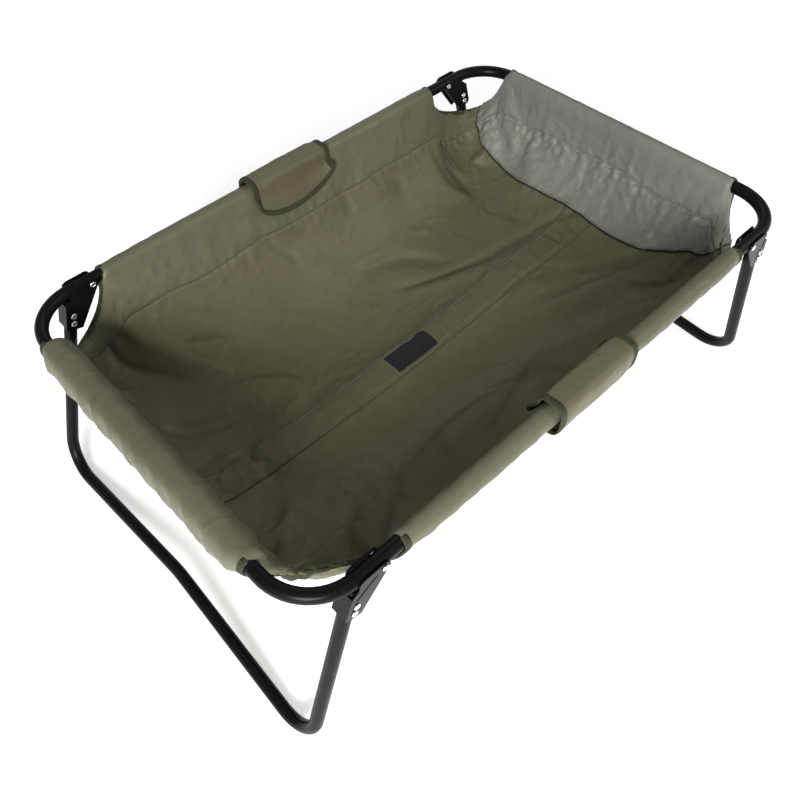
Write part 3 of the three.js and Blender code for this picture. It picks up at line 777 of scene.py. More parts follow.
FOLDS = [                       # height (mm, - for a valley), width (mm), then points (mm along, mm across)
    (-3.5, 15, (-260, 265), (-215, 240), (-180, 200)), (-4.5, 16, (-425, 175), (-330, 140), (-225, 90)),
    (-3.5, 13, (-470, 40), (-400, 50), (-320, 70)),
    (4.0, 17, (-260, 170), (-205, 140), (-165, 100), (-185, 50)),
    (-4.0, 20, (-395, 370), (-360, 295), (-320, 250), (-280, 200)),
    (-3.0, 12, (-270, -40), (-310, -60), (-360, -80)), (-4.0, 11, (-300, -80), (-355, -125)),
    (-5.5, 11, (-320, -98), (-360, -108), (-470, -165)),
    (4.0, 14, (-330, -110), (-375, -150), (-430, -200)),
    (-4.5, 12, (150, -40), (240, -35), (330, -95), (430, -180)),
    (5.0, 24, (200, -95), (260, -115), (330, -150), (420, -210)),
    (-4.5, 14, (215, -70), (260, -92), (300, -95)),
    (3.5, 15, (275, 330), (285, 250), (305, 205), (255, 165)), (2.5, 7, (312, 170), (300, 148), (308, 130)),
    (-3.0, 12, (310, 300), (330, 250), (325, 215)),
    (-5.0, 14, (50, 205), (100, 197), (150, 165), (178, 112)),
    (-5.0, 13, (75, 140), (140, 105), (205, 78), (290, 62), (330, 45)),
    (4.0, 14, (80, 122), (145, 86), (205, 58)), (-4.0, 13, (20, -150), (60, -175), (90, -205), (105, -280)),
    (5.0, 26, (-60, -260), (20, -215), (90, -185), (170, -200)),
    (-3.5, 9, (-75, 366), (-62, 330), (-42, 300), (-40, 265)),
    (-3.0, 22, (-130, 360), (-15, 315), (45, 245)), (-3.5, 9, (80, 366), (92, 330), (88, 300)),
    (-3.0, 14, (170, 355), (200, 320), (205, 280)), (2.5, 10, (130, 366), (150, 325), (190, 310)),
    (-3.0, 16, (-100, -100), (-20, -90), (60, -120)), (3.0, 18, (-150, -180), (-40, -160), (40, -175)),
    (-2.5, 9, (350, 120), (330, 100), (345, 70))]
FOLD_GAIN = 1.7                 # the cloth's folds are this much higher than listed
FOLD_HALF = (0.555, 0.450)      # the folds' distances for s = 1 and t = 1
CLOTH_HALF = (0.56, 0.45)       # metres of cloth from the middle to the edge, along s and t
CRUMPLE, CRUMPLE_NARROW = 0.0027, 3.8      # height of the small sharp creases, and how narrow they are


def fold_height(u, w):
    """Height in metres of all the folds at distances u along and w across from the middle, in metres."""
    total = np.zeros_like(u)
    for height, width, *points in FOLDS:
        line = np.array(points, float) / 1000
        dense = profile_at(line, np.linspace(0, len(line) - 1, 60))
        near = np.argmin((u[..., None] - dense[:, 0]) ** 2 + (w[..., None] - dense[:, 1]) ** 2, axis=-1)
        course = unit(np.gradient(dense, axis=0))[near]
        gap_u, gap_w = u - dense[near, 0], w - dense[near, 1]
        off = course[..., 0] * gap_w - course[..., 1] * gap_u
        past = np.abs(course[..., 0] * gap_u + course[..., 1] * gap_w)
        reach = np.where(off > 0, 0.45, 1.5) * width / 1000
        taper = np.sin(math.pi * (0.04 + 0.92 * near / 59)) ** 0.6
        bulge = np.exp(-(off / reach) ** 2 - (past / (width / 1000)) ** 2)
        total += FOLD_GAIN * height / 1000 * taper * bulge
    return total


def finish_sling(grid):
    """Doubles the grid, then adds the gathers along the seams and the folds."""
    surface = Surface(grid)
    s = np.linspace(-1, 1, 2 * GRID_S + 1)[:, None]
    t = np.linspace(-1, 1, 2 * GRID_T + 1)[None, :]
    fine = surface.place(s, t)
    normal = surface.normal(s + 0 * t, t + 0 * s)
    x, y = fine[..., 0], fine[..., 1]
    below_side = (side_t(SEAM_KNOT) - np.abs(t)) * CLOTH_HALF[1] + 0 * s
    seam_s = np.where(s > 0, end_s(SEAM_KNOT, 1), end_s(SEAM_KNOT, -1))
    below_end = (seam_s - np.abs(s)) * CLOTH_HALF[0] + 0 * t
    lift = 0.0
    for below, along, seed in ((below_side, x, 31), (below_end, y, 41)):
        under = np.where(below >= 0, puckers(0.022, along, below, 0.017, seed), 0)
        over = np.where(below < 0, 0.55 * puckers(0.012, along, -below, 0.020, seed + 5), 0)
        strength = 0.6 + 0.4 * wave_noise(along, along * 0, 0.16, seed + 9)
        lift = lift + 0.0019 * strength * (under + over)
        lift = lift - 0.0016 * np.exp(-(below / 0.0026) ** 2)
    lift = lift + fold_height(FOLD_HALF[0] * s + 0 * t, FOLD_HALF[1] * t + 0 * s)
    crumple = np.clip(1 - CRUMPLE_NARROW * np.abs(wave_noise(x, 1.3 * y, 0.075, 47)), 0, 1) ** 2
    crumple = crumple * smooth_step(0.5 + 1.2 * wave_noise(x, y, 0.16, 48))
    lift = lift + CRUMPLE * crumple
    low_x, low_y, _ = CORNERS[("foot", "near")]["low"]
    bunch = np.exp(-((x + low_x) ** 2 + (y + low_y) ** 2) / 0.030 ** 2)
    lift = lift + 0.0030 * bunch * wave_noise(x, y, 0.020, 45)
    keep = smooth_step((RAIL_Z + 0.001 - fine[..., 2]) / 0.02)
    return fine + normal * (lift * keep)[..., None]


# ---------- cloth pressed up by a folded leg ----------
FLAT_Z = RAIL_Z - 0.0112        # a folded leg's bars press the cloth up to this plane of its frame half
FLAT_KEEP = 0.045               # share of its depth that the cloth keeps there
FLAT_REACH = 0.22               # past the middle, a leg's press on the other half fades over this distance
LEG_FOLD, FRAME_FOLD = math.radians(107.4), math.radians(178)
BEND_LIFT, BEND_WIDTH = 0.046, 0.080    # with the frame folded too, cloth by the hinges clears the legs' bars
BRACKET_PLACE = (0.312, 0.235)          # past these x and y, at the leg brackets, the cloth isn't pressed
LAYER_GAP = (0.006, 0.012)      # pieces nearer than this to the sling move with the sling under them


def press_tree():
    """Moves points by their stored depth as the legs fold; it does nothing while the legs stand."""
    tree = bpy.data.node_groups.new("pressed_by_folded_legs", "GeometryNodeTree")
    tree.interface.new_socket("Geometry", in_out="INPUT", socket_type="NodeSocketGeometry")
    tree.interface.new_socket("Geometry", in_out="OUTPUT", socket_type="NodeSocketGeometry")

    def new(kind, inputs=None, **settings):
        return add_node(tree, kind, inputs, **settings)

    def calc(operation, a, b=0.0, **settings):
        return new("ShaderNodeMath", {0: a, 1: b}, operation=operation, **settings).outputs[0]

    def turn(body):
        info = new("GeometryNodeObjectInfo", {"Object": bpy.data.objects["body:" + body]},
                   transform_space="ORIGINAL")
        up = new("FunctionNodeTransformDirection",
                 {"Direction": (0, 0, 1), "Transform": info.outputs["Transform"]})
        parts = new("ShaderNodeSeparateXYZ", {0: up.outputs[0]}).outputs
        return calc("ARCTAN2", calc("MULTIPLY", parts[0], -1.0), parts[2])

    def stored(name):
        return new("GeometryNodeInputNamedAttribute", {"Name": name}, data_type="FLOAT").outputs["Attribute"]

    fold = turn("head_frame")
    shares = []
    for leg, angle in (("foot", turn("foot_leg")), ("head", calc("SUBTRACT", fold, turn("head_leg")))):
        share = calc("DIVIDE", angle, LEG_FOLD, use_clamp=True)
        shares.append(calc("MULTIPLY", share, stored(f"under_{leg}_leg")))
    bent = calc("MULTIPLY", calc("DIVIDE", fold, FRAME_FOLD, use_clamp=True), stored("bend_depth"))
    move = calc("MULTIPLY", calc("MAXIMUM", *shares), calc("ADD", stored("press_depth"), bent))
    bend = calc("MULTIPLY", fold, stored("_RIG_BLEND"))
    back = calc("MULTIPLY", calc("SINE", bend), -1.0)
    offset = new("ShaderNodeCombineXYZ", {0: calc("MULTIPLY", back, move),
                                          2: calc("MULTIPLY", calc("COSINE", bend), move)})
    start, end = new("NodeGroupInput"), new("NodeGroupOutput")
    moved = new("GeometryNodeSetPosition", {"Geometry": start.outputs[0], "Offset": offset.outputs[0]})
    tree.links.new(moved.outputs[0], end.inputs[0])
    return tree


def press_cloth(sling, others):
    """Stores on each piece how far a folded leg presses each of its points, and adds the node tree."""
    tree = press_tree()
    under = BVHTree.FromPolygons([v.co for v in sling.data.vertices],
                                 [tuple(f.vertices) for f in sling.data.polygons])
    for obj in [sling, *others]:
        points = np.array([v.co for v in obj.data.vertices])
        z = points[:, 2].copy()
        if obj is not sling:
            for index in np.nonzero(z < RAIL_Z + 0.03)[0]:
                place, _, _, gap = under.find_nearest(points[index], LAYER_GAP[1])
                if place is not None:
                    own = float(smooth_step((gap - LAYER_GAP[0]) / (LAYER_GAP[1] - LAYER_GAP[0])))
                    z[index] = own * z[index] + (1 - own) * place[2]
        x, y = np.abs(points[:, 0]), np.abs(points[:, 1])
        corner = smooth_step((x - BRACKET_PLACE[0]) / 0.03) * smooth_step((y - BRACKET_PLACE[1]) / 0.03)
        between_rails = 1 - smooth_step((y - 0.276) / 0.012)
        from_middle = points[:, 0] / FLAT_REACH
        rows = {"press_depth": np.maximum(FLAT_Z - z, 0) * (1 - FLAT_KEEP) * (1 - corner),
                "bend_depth": BEND_LIFT * np.exp(-(x / BEND_WIDTH) ** 2) * between_rails,
                "under_foot_leg": 1 - smooth_step(from_middle),
                "under_head_leg": 1 - smooth_step(-from_middle)}
        for name, values in rows.items():
            attribute = obj.data.attributes.new(name, "FLOAT", "POINT")
            attribute.data.foreach_set("value", values.astype(np.float32))
        press = obj.modifiers.new("press", "NODES")
        press.node_group = tree
        obj.modifiers.move(len(obj.modifiers) - 1, 0)


# ---------- bands: the sleeve on each rail ----------
BAND_SPREAD = 0.055             # how much further than at the rail a band's end runs at its seam
NUB_SPREAD = 0.25               # share of that by the corner with the rolled nub
OVER_RAIL = 0.30                # share of a band's outer layer that goes round the rail, above its fall
CORNER_LINES, BAND_ROWS = 26, 22        # a band's lines over each corner, and its rows in each layer
BAND_KNOTS = {                  # out, up from the rail
    "side": [(0.0, 0.0112), (0.0088, 0.0086), (0.0132, 0.0), (0.0136, -0.0080)],
    "foot": [(0.0, 0.0125), (0.0105, 0.0105), (0.0160, 0.0), (0.0175, -0.0120)],
    "head": [(0.0, 0.0112), (0.0082, 0.0082), (0.0120, 0.0), (0.0122, -0.0080)],
    "tight": [(0.0, 0.0112), (0.0080, 0.0080), (0.0110, 0.0), (0.0108, -0.0060)]}   # at a band's ends
BAND_PUFF = {"side": 0.25, "foot": 1.0, "head": 0.2}    # how loose each sleeve is
BAND_LINES = {"side": 150, "end": 110}                  # its lines between the corners
AXIS = {"side": 0, "end": 1}    # the axis that each kind of rail runs along


def ordered(kind, along, across):
    """What runs along a rail and what runs across it, in the order of x and y."""
    return (along, across) if kind == "side" else (across, along)


def seam_share(kind, sign):
    return side_t(SEAM_KNOT) if kind == "side" else end_s(SEAM_KNOT, sign)


def rail_limits(kind, which):
    """The two distances along a rail where its sleeve ends, and the spread of each end at the seam."""
    limits = []
    for other_name, other in (ENDS if kind == "side" else SIDES):
        corner = CORNERS[ordered(kind, other_name, which)]
        spread = BAND_SPREAD * (NUB_SPREAD if "tuck" in corner else 1.0)
        limits.append((other * corner["rail_x" if kind == "side" else "rail_y"], other * spread))
    return limits


def seam_points(kind, sign, along):
    """Points of the seam line under a rail, at the given distances along the rail."""
    line = np.linspace(-0.97, 0.97, 400)
    s, t = ordered(kind, line, np.full(400, sign * seam_share(kind, sign)))
    points = SLING.off(s, t, np.full(400, -0.0016))
    points = points[np.argsort(points[:, AXIS[kind]])]
    return sample(along, points[:, AXIS[kind]], points)


def band_point(kind, sign, along, out, up):
    """A point beside a rail, from its distance along, out from and up from the rail's centre line."""
    along, out, up = np.broadcast_arrays(along, out, up)
    side = sign * ((HALF_WIDTH if kind == "side" else HALF_LENGTH) + out)
    return np.stack([*ordered(kind, along, side), RAIL_Z + up], axis=-1)


def rail_params(kind, sign, limits, count):
    """Lines across a rail, as s or t: a few over each corner cut-out, the rest between the rail's limits."""
    line = np.linspace(-1, 1, 2400)
    edge = SLING.place(*ordered(kind, line, sign))
    (low, _), (high, _) = limits
    low, high = np.interp((low, high), edge[:, AXIS[kind]], line)
    return np.concatenate([np.linspace(-1, low, CORNER_LINES)[:-1], np.linspace(low, high, count),
                           np.linspace(high, 1, CORNER_LINES)[1:]])


def band_inner(kind, sign, lines, puff):
    """The sleeve's inner layer: a strip of the sling's own shape from its seam up to the rail's top."""
    across = np.linspace(seam_share(kind, sign), 1, BAND_ROWS)[None, :] * sign + 0 * lines[:, None]
    s, t = ordered(kind, lines[:, None] + 0 * across, across)
    u = SLING.place(s, t)[..., AXIS[kind]]
    v = np.linspace(0, 1, BAND_ROWS)[None, :] + 0 * u
    edges = smooth_step((1 - np.abs(lines)) / 0.06)[:, None]
    loose = np.sin(math.pi * np.clip(v, 0, 1) ** 0.9) * edges
    waves = wave_noise(u + 0.03 * v, v * 0.06, 0.036, 57)
    lift = 0.0009 + 0.0008 * loose * (1 + puff) + (0.0008 + 0.0014 * puff) * loose * waves
    lift = lift + 0.0012 * edges * puckers(0.22, u, v, 0.021, 58) * smooth_step(v / 0.1)
    return SLING.off(s, t, np.maximum(lift + (0.0005 if kind == "end" else 0), 0.0007))


def band_outer(kind, which, sign, limits, first, puff):
    """The sleeve's outer layer: rows run along the rail from first, columns down the outside to the seam."""
    (low, low_spread), (high, high_spread) = limits
    start = first[:, AXIS[kind]]
    share = (start - low) / (high - low)
    columns = []
    knots = BAND_KNOTS["side" if kind == "side" else which]
    steps = np.linspace(0, 1, BAND_ROWS)[1:]
    slack = smooth_step(np.minimum(share, 1 - share) / 0.06)[:, None]
    for v in steps:
        flare = 1 - math.sqrt(max(0.0, 1 - v * v))
        along = start + ((1 - share) * low_spread + share * high_spread) * flare
        wrap = np.full(len(share), min(v / OVER_RAIL, 1.0) * (len(knots) - 1))
        out, up = (profile_at(BAND_KNOTS["tight"], wrap) * (1 - slack) + profile_at(knots, wrap) * slack).T
        point = band_point(kind, sign, along, out, up)
        if v > OVER_RAIL:
            k = (v - OVER_RAIL) / (1 - OVER_RAIL)
            seam = seam_points(kind, sign, along)
            bulge = 0.0035 * math.sin(math.pi * k) * (1 + 2.0 * puff * slack[:, 0])
            point = point + (seam - point) * k
            point = point + band_point(kind, sign, 0 * along, bulge, 0)
            point = point - band_point(kind, sign, 0 * along, 0, 0)
        columns.append(point)
    grid = np.stack(columns, axis=1)
    u = grid[..., AXIS[kind]]
    v = steps[None, :] + 0 * u
    loose = np.sin(math.pi * np.clip((v - 0.02) / 0.98, 0, 1)) ** 0.8
    slant = u + 0.045 * v
    ripple = 0.0007 * wave_noise(u, v * 0.09, 0.06, 51) + puff * (
        0.0024 * wave_noise(slant * 1.2, slant * 0.1 + v * 0.02, 0.040, 52)
        + 0.0014 * wave_noise(slant, v * 0.06, 0.022, 53))
    gather = (0.0007 + 0.0003 * puff) * puckers(0.25, u, 1 - v, 0.024, 54)
    lift = ((ripple + 0.0022 * puff) * loose + gather * smooth_step(v / 0.5)) * slack
    outward = band_point(kind, sign, 0, 1, 0) - band_point(kind, sign, 0, 0, 0)
    bias = smooth_step((OVER_RAIL - v) / OVER_RAIL)[..., None]
    return grid + unit(outward + bias * np.array((0, 0, 1.6))) * lift[..., None]


def make_band(kind, which, sign, puff, inner=True):
    """One rail's sleeve; returns it and the grid of its outer layer."""
    limits, count = rail_limits(kind, which), BAND_LINES[kind]
    lines = rail_params(kind, sign, limits, count)
    strip = band_inner(kind, sign, lines, puff)
    first = CORNER_LINES - 1
    middle = slice(first, first + count)
    outer = band_outer(kind, which, sign, limits, strip[middle, -1], puff)
    whole = np.concatenate([strip[middle], outer], axis=1)
    if not inner:
        whole = whole[:, strip.shape[1] - 2:]
        band = sheet_object(f"{which}_band", whole, OLIVE_LIGHT, BAND_THICK)
    else:
        cols = whole.shape[1]
        points, faces = list(whole.reshape(-1, 3)), grid_faces(count, cols)
        for rows, joined in ((range(first + 1), first),
                             (range(first - 1 + count, len(lines)), first - 1 + count)):
            index = np.zeros((len(rows), strip.shape[1]), int)
            for a, row in enumerate(rows):
                for b in range(strip.shape[1]):
                    if row == joined:
                        index[a, b] = (row - first) * cols + b
                    else:
                        index[a, b] = len(points)
                        points.append(strip[row, b])
            faces += [(index[a, b], index[a, b + 1], index[a + 1, b + 1], index[a + 1, b])
                      for a in range(len(rows) - 1) for b in range(strip.shape[1] - 1)]
        band = make_mesh(f"{which}_band", points, faces, OLIVE_LIGHT)
        thicken(band, BAND_THICK)
    return band, np.concatenate([strip[middle, -1:], outer], axis=1)


def make_bands():
    grids = {}
    for side_name, side in SIDES:
        band, grids[side_name] = make_band("side", side_name, side, BAND_PUFF["side"])
        belong(band, "sling_cloth", OVER_HINGE, *(f"{end}_{side_name}_sleeve" for end, _ in ENDS))
    for end_name, end in ENDS:
        band, grids[end_name] = make_band("end", end_name, end, BAND_PUFF[end_name], inner=end < 0)
        belong(band, "sling_cloth", f"{end_name}_frame", f"{end_name}_end_sleeve")
    return grids


# ---------- bound edges ----------
CORNER_TAPE, WRAP_TAPE = (0.0075, 0.0017), (0.0085, 0.0016)     # width and half thickness
NUB_REACH, NUB_THICK, NUB_WIDE = 0.026, 1.3, 0.8        # the rolled nub: how far it reaches, and its gains


def loft_tape(name, path, inward, normal, width, thick):
    """A tape folded over an edge: path is the edge, inward points into the cloth."""
    outline = [(width, 0.9), (width * 0.5, 1.1), (0.0012, 1.0), (-0.0006, 0.55), (-0.0009, 0.0),
               (-0.0006, -0.55), (0.0012, -1.0), (width * 0.5, -1.1), (width, -0.9)]
    rings = [path + inward * a + normal * (b * thick) for a, b in outline]
    points = np.stack(rings, axis=1).reshape(-1, 3)
    faces = grid_faces(len(path), len(outline), close_cols=True) + end_caps(len(path), len(outline))
    return make_mesh(name, points, faces, TAPE)


def corner_edge(end_name, end, side_name, side, bands):
    """The cut edge of one corner: up the side band's end, round the arc inside, down the end band's end."""
    corner = CORNERS[(end_name, side_name)]
    s_line = np.linspace(0, 1, 1200)
    xs = np.abs(SLING.place(end * s_line, side)[:, 0])
    ys = np.abs(SLING.place(end, side * s_line)[:, 1])
    s_rail = float(np.interp(corner["rail_x"], xs, s_line))
    t_rail = float(np.interp(corner["rail_y"], ys, s_line))
    s_part, t_part = np.linspace(s_rail, 1, 60), np.linspace(1, t_rail, 50)[1:]
    s_all = end * np.concatenate([s_part, np.ones(49)])
    t_all = side * np.concatenate([np.ones(60), t_part])
    arc = SLING.place(s_all, t_all)
    centre_s, centre_t = end * (s_rail * 0.5 + 0.42), side * (t_rail * 0.5 + 0.42)
    middle = SLING.place(centre_s, centre_t)
    normal = SLING.normal(np.clip(s_all, -0.985, 0.985), np.clip(t_all, -0.985, 0.985))
    along = unit(np.gradient(arc, axis=0))
    inward = np.cross(normal, along)
    inward *= np.sign((inward * (middle - arc)).sum(1))[:, None]
    pieces = []
    for grid, last, first in ((bands[side_name], end > 0, True), (bands[end_name], side > 0, False)):
        edge = grid[-1 if last else 0]
        inner = grid[-4 if last else 3] - edge
        across = np.cross(unit(np.gradient(edge, axis=0)), inner)
        out = edge - np.array((edge[0, 0] * 0.98, edge[0, 1] * 0.98, RAIL_Z - 0.05))
        across *= np.sign((across * out).sum(1))[:, None]
        order = slice(None, None, -1) if first else slice(None)
        pieces.append((edge[order], unit(inner)[order], -unit(across)[order]))
    path = np.concatenate([pieces[0][0], arc[1:-1], pieces[1][0]])
    inward = np.concatenate([pieces[0][1], unit(inward)[1:-1], pieces[1][1]])
    normal = np.concatenate([pieces[0][2], normal[1:-1], pieces[1][2]])
    path, inward, normal = even(path, inward, normal)
    return soften(path), unit(soften(inward, 8)), unit(soften(normal, 8))


def make_bindings(bands):
    for end_name, end in ENDS:
        for side_name, side in SIDES:
            path, inward, normal = corner_edge(end_name, end, side_name, side, bands)
            crimp = 1 + 0.16 * wave_noise(path[:, 0] + path[:, 2], path[:, 1], 0.012, 61)
            corner = CORNERS[(end_name, side_name)]
            if "tuck" in corner:        # here the edge is gathered into a rolled nub
                low = np.array(corner["low"]) * (end, side, 1)
                roll = np.exp(-(((path - low) ** 2).sum(1)) / NUB_REACH ** 2)
                rough = 1 + 0.3 * wave_noise(path[:, 0], path[:, 1], 0.016, 62)
                crimp = crimp * (1 + NUB_THICK * roll * rough)
                inward = inward * (1 + NUB_WIDE * roll)[:, None]
            tape = loft_tape(f"{end_name}_{side_name}_binding", path, inward, normal * crimp[:, None],
                             *CORNER_TAPE)
            belong(tape, "binding_tape", f"{end_name}_frame")


# ---------- head panel ----------
CRESCENT = [(0.283, 0.262), (0.267, 0.250), (0.249, 0.237), (0.226, 0.220), (0.203, 0.206), (0.154, 0.190),
            (0.091, 0.184), (0.029, 0.182), (-0.044, 0.182), (-0.117, 0.189), (-0.145, 0.196),
            (-0.182, 0.213), (-0.225, 0.232), (-0.262, 0.246)]    # y, z of the grey panel's lower edge


def crescent_line(count=240):
    """The panel's lower edge as s and t on the sling."""
    s, t = np.meshgrid(np.linspace(0.70, 1, 160), np.linspace(-1, 1, 420), indexing="ij")
    cloud = SLING.place(s, t)
    found = []
    for y, z in CRESCENT:
        gap = (cloud[..., 1] - y) ** 2 + (cloud[..., 2] - z) ** 2 + 0.02 * (cloud[..., 0] - 0.42) ** 2
        nearest = np.argmin(gap)
        found.append((s.flat[nearest], t.flat[nearest]))
    found = np.array(sorted(found, key=lambda st: st[1]))
    ends = [(1.0, found[0, 1] - 0.01), *found[1:-1], (1.0, found[-1, 1] + 0.005)]
    ends = np.array([(a, np.clip(b, -0.999, 0.999)) for a, b in ends])
    t_want = np.linspace(ends[0, 1], ends[-1, 1], count)
    s_want = np.interp(t_want, ends[:, 1], ends[:, 0])
    return soften(np.stack([s_want, t_want], axis=1), 30)


def make_head_panel():
    edge = crescent_line()
    q = np.linspace(0, 1, 46)[None, :]
    s = 1 - q * (1 - edge[:, 0:1])
    t = edge[:, 1:2] + 0 * q
    top = smooth_step((RAIL_TOP + 0.001 - SLING.place(s, t)[..., 2]) / 0.02)
    y = SLING.place(s, t)[..., 1]
    below = (end_s(SEAM_KNOT) - s) * CLOTH_HALF[0]
    long_folds = np.where(below >= 0, puckers(0.055, y, below, 0.034, 71), 0)
    short = np.where(below < 0, 1.5 * puckers(0.040, y, -below, 0.030, 72),
                     puckers(0.018, y, below, 0.015, 73))
    fade = smooth_step((1 - q) / 0.18)
    height = 0.0019 + 0.0022 * long_folds * fade + 0.0010 * short * top + 0.0012 * fade * top
    height = height - 0.0012 * np.exp(-(below / 0.0026) ** 2)
    height = np.maximum(height, 0.0008)
    panel = sheet_object("head_panel", SLING.off(s, t, height), GREY, PANEL_THICK)
    belong(panel, "grey_cloth", "head_frame")
    line = resample(SLING.off(edge[:, 0], edge[:, 1], np.full(len(edge), 0.0022)), 260)
    points, faces = tube_mesh(soften(line, 4), 0.0014, 8)
    piping = make_mesh("head_piping", points, faces, PIPING)
    belong(piping, "hook_tape", "head_frame")
    return edge


# ---------- strip, patch and stitches ----------
STRIP_Y = (-0.029, 0.023)
PATCH_X, PATCH_Y = (-0.057, 0.029), (-0.021, 0.013)
PATCH_MARGIN = 0.0034           # from the patch's edge to the stitches round it
ON_SLING, ON_STRIP, ON_PANEL = 0.0006, 0.0027, 0.0034   # heights of the stitches above the sling


def t_of(y):
    t = np.linspace(-0.5, 0.5, 600)
    return float(np.interp(y, SLING.place(np.zeros(600), t)[:, 1], t))


def s_of(x):
    s = np.linspace(-1, 1, 900)
    return np.interp(x, SLING.place(s, np.full(900, t_of(-0.003)))[:, 0], s)


def stitch_row(soup, s, t, height, stitch=0.0036, gap=0.0011, radius=0.00042):
    """Thread along a line on the sling, one short rounded piece for each stitch."""
    line = SLING.off(s, t, np.full(len(s), height))
    normal = SLING.normal(s, t)
    along = run_of(line)
    for start in np.arange(0.001, along[-1] - stitch, stitch + gap):
        at = start + stitch * np.array((0, 0.25, 0.75, 1.0))
        points, up = sample(at, along, line), sample(at, along, normal)
        points = points + up * np.array((-0.0005, 0.0002, 0.0002, -0.0005))[:, None]
        soup.add(*tube_mesh(points, radius, 5))


def make_strip(edge):
    t0, t1 = t_of(STRIP_Y[0]), t_of(STRIP_Y[1])
    head_end = float(np.interp(0, edge[:, 1], edge[:, 0])) - 0.002
    s = np.linspace(-0.945, head_end, 420)[:, None]
    v = np.linspace(0, 1, 15)[None, :]
    t = t0 + (t1 - t0) * v + 0 * s
    x = SLING.place(s, t0 + 0 * s)[..., 0]
    crown = (0.0015 + 0.0005 * np.sin(math.pi * v) + 0.0006 * np.exp(-((v - 0.14) / 0.04) ** 2)
             + 0.0006 * np.exp(-((v - 0.86) / 0.04) ** 2) + 0.0004 * wave_noise(x, v * 0.05, 0.03, 81))
    drop = np.where((v < 0.001) | (v > 0.999), -0.0009, 0)
    strip = sheet_object("centre_strip", SLING.off(s + 0 * t, t, crown + drop), STRIP, SLING_THICK)
    belong(strip, "sling_cloth", OVER_HINGE, "foot_centre_strip", "head_centre_strip")

    patch_s = s_of(np.linspace(*PATCH_X, 60))[:, None]
    patch_t = np.linspace(t_of(PATCH_Y[0]), t_of(PATCH_Y[1]), 26)[None, :]
    rim = np.minimum(np.minimum(np.linspace(0, 59, 60), np.linspace(59, 0, 60))[:, None],
                     np.minimum(np.linspace(0, 25, 26), np.linspace(25, 0, 26))[None, :])
    height = 0.0026 + 0.0010 * smooth_step(rim / 2.5)
    patch = sheet_object("hook_patch_cloth", SLING.off(patch_s + 0 * patch_t, patch_t + 0 * patch_s, height),
                         HOOK, DOUBLE_THICK)
    belong(patch, "hook_tape", OVER_HINGE, "foot_hook_patch", "head_hook_patch")

    soup = Soup()
    run = np.linspace(-0.94, head_end - 0.003, 900)
    width = t1 - t0
    for share in (0.045, 0.16, 0.84, 0.955):
        stitch_row(soup, run, np.full(900, t0 + width * share), ON_STRIP)
    patch_run = s_of(np.linspace(PATCH_X[0] - PATCH_MARGIN, PATCH_X[1] + PATCH_MARGIN, 200))
    rows = t_of(PATCH_Y[0] - PATCH_MARGIN), t_of(PATCH_Y[1] + PATCH_MARGIN)
    for row in rows:
        stitch_row(soup, patch_run, np.full(200, row), ON_STRIP)
    for s_end in (patch_run[0], patch_run[-1]):
        stitch_row(soup, np.full(60, s_end), np.linspace(*rows, 60), ON_STRIP)
    for _, side in SIDES:
        for knot in (SEAM_KNOT - 0.14, SEAM_KNOT + 0.10):
            stitch_row(soup, np.linspace(-0.86, 0.86, 900), np.full(900, side * side_t(knot)), ON_SLING)
    belong(soup.build("sling_stitches", THREAD), "thread", OVER_HINGE)

    ends = Soup()
    inset = edge[6:-6]
    for row in (0.0022, 0.0042):
        stitch_row(ends, inset[:, 0] + row / CLOTH_HALF[0], inset[:, 1], ON_PANEL)
    for knot in (SEAM_KNOT - 0.16, SEAM_KNOT + 0.14):
        stitch_row(ends, np.full(500, end_s(knot)), np.linspace(-0.86, 0.86, 500), ON_PANEL)
    belong(ends.build("head_stitches", THREAD), "thread", "head_frame")


# ---------- wraps over the middle hinges ----------
WRAP_X = (-0.080, 0.075)
# out, up from the rail's centre line, from the inner flap's edge over the rail to the underside
WRAP_LINE = [(-0.0330, -0.0470), (-0.0280, -0.0300), (-0.0225, -0.0140), (-0.0200, 0.0), (-0.0188, 0.0120),
             (-0.0145, 0.0188), (-0.0050, 0.0205), (0.0060, 0.0205), (0.0150, 0.0185), (0.0198, 0.0110),
             (0.0212, -0.0030), (0.0202, -0.0180), (0.0162, -0.0280), (0.0090, -0.0325), (0.0000, -0.0325),
             (-0.0080, -0.0290)]
WRAP_SNUG = 0.90                # the head end of the wrap is this much tighter, past the hinge
FLAP_CLEAR = 0.0034             # from the sling's wall to the flap


def wall_out(side, x, up):
    """How far out from the rail's centre line the sling's wall is, at distances x along and up from it."""
    t = np.linspace(0.35, 1, 90)
    walls = []
    for place in np.asarray(x)[:, 0]:
        s = np.full(90, float(s_of(place)))
        line = SLING.place(s, side * t)
        walls.append(np.interp(up[len(walls)] + RAIL_Z, line[:, 2], side * line[:, 1] - HALF_WIDTH))
    return np.array(walls)


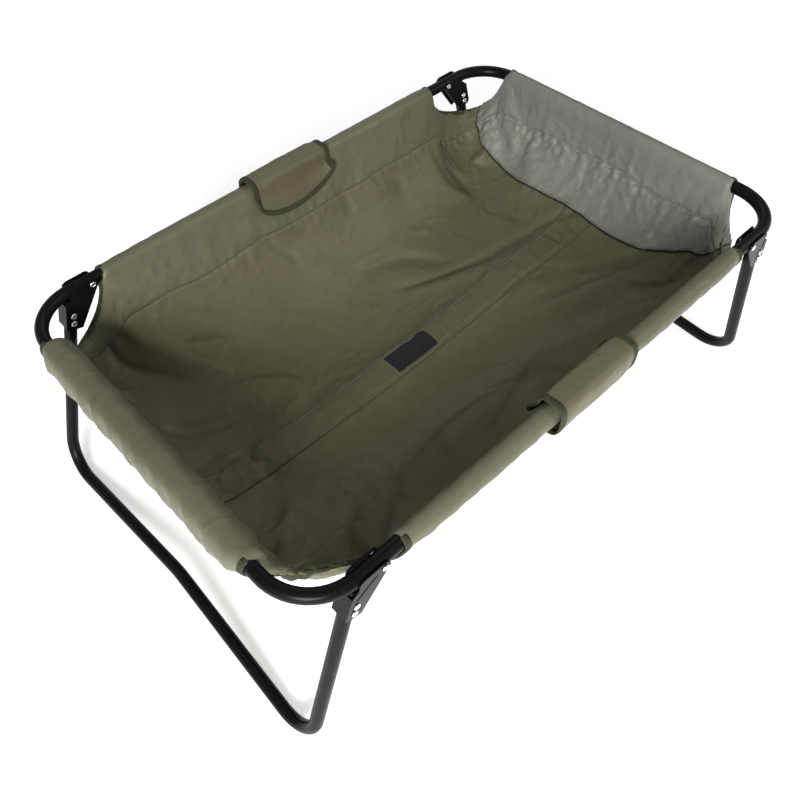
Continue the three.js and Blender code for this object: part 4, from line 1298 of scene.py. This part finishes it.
def wrap_grid(side, rows=90, cols=60):
    share = np.linspace(0, 1, rows)[:, None]
    knot = np.linspace(0, len(WRAP_LINE) - 1, cols)[None, :] + 0 * share
    line = profile_at(WRAP_LINE, knot)
    x = WRAP_X[0] + (WRAP_X[1] - WRAP_X[0]) * share + 0 * knot
    flap = smooth_step((3.0 - knot) / 3.0)
    belly = np.sin(math.pi * share) ** 0.7
    scallop = np.sin(math.pi * share ** 0.85) ** 0.6
    snug = 1 - (1 - WRAP_SNUG) * smooth_step((x - 0.046) / 0.026) * (1 - flap)
    out = line[..., 0] * (1 + 0.06 * (belly - 1)) * snug
    up = line[..., 1] * np.where(knot > 3, snug, 1)
    up = up + flap * 0.032 * (1 - scallop) + 0.0012 * (belly - 1) * (knot > 4) * (knot < 9)
    lift = (0.0004 * wave_noise(x, knot * 0.008, 0.060, 92 + (side > 0))
            + 0.0002 * wave_noise(x, knot * 0.01, 0.015, 95))
    out = out + lift * np.sign(line[..., 0])
    up = up + 0.6 * lift
    clear = wall_out(side, x, up) - FLAP_CLEAR - 0.0014 * flap * (1 + wave_noise(x, knot * 0.004, 0.03, 91))
    out = np.where(knot < 4.2, np.minimum(out, clear), out)
    return np.stack([x, side * (HALF_WIDTH + out), RAIL_Z + up], axis=-1)


def make_wraps():
    for side_name, side in SIDES:
        grid = wrap_grid(side)
        wrap = sheet_object(f"{side_name}_wrap", grid, OLIVE, DOUBLE_THICK)
        belong(wrap, "sling_cloth", OVER_HINGE, *(f"{end}_{side_name}_hinge_wrap" for end, _ in ENDS))
        normal = np.cross(np.gradient(grid, axis=0), np.gradient(grid, axis=1))
        normal = unit(normal) * (1 if side > 0 else -1)
        rows = ((grid[0], grid[4], normal[0]), (grid[-1], grid[-5], normal[-1]),
                (grid[:, 0], grid[:, 4], normal[:, 0]))
        for edge_name, (edge, inside, up) in zip(WRAP_EDGES, rows):
            tape = loft_tape(f"{side_name}_wrap_{edge_name}",
                             *even(edge, unit(inside - edge), up, step=0.0022), *WRAP_TAPE)
            belong(tape, "binding_tape", OVER_HINGE)


# ---------- run ----------
make_camera()
make_studio()
BLACK = powder_coat("satin_black_powder_coat")
ZINC = bright_zinc("bright_zinc")
OLIVE = coated_nylon("olive_nylon", (0.079, 0.072, 0.040), (0.098, 0.091, 0.052))
OLIVE_LIGHT = coated_nylon("olive_nylon_outer", (0.086, 0.083, 0.052), (0.106, 0.103, 0.067), 0.44)
GREY = coated_nylon("grey_nylon", (0.140, 0.145, 0.122), (0.170, 0.175, 0.150), 0.45)
STRIP = coated_nylon("strip_nylon", (0.068, 0.066, 0.037), (0.086, 0.083, 0.048), 0.5, 0.5)
PIPING = woven_tape("black_piping", (0.006, 0.006, 0.006), (0.016, 0.016, 0.016), 0.0012)
TAPE = woven_tape("binding_tape", (0.027, 0.030, 0.013), (0.046, 0.050, 0.025))
HOOK = hook_and_loop("hook_and_loop")
THREAD = spun_thread("olive_thread", (0.23, 0.22, 0.16))

make_tubes(BLACK)
make_hardware(BLACK, ZINC)

REST = sling_rest()
HUNG = simulate(REST)
FINE = finish_sling(HUNG)
SLING = Surface(FINE)
sling = sheet_object("sling", FINE, OLIVE, SLING_THICK)
belong(sling, "sling_cloth", OVER_HINGE,
       *[node for node in frame["nodes"] if node.endswith(("side_panel", "floor_panel", "end_panel"))])

BANDS = make_bands()
make_bindings(BANDS)
make_strip(make_head_panel())
make_wraps()

press_cloth(sling, [obj for obj in bpy.data.objects if obj.name in SOFT_PIECES])
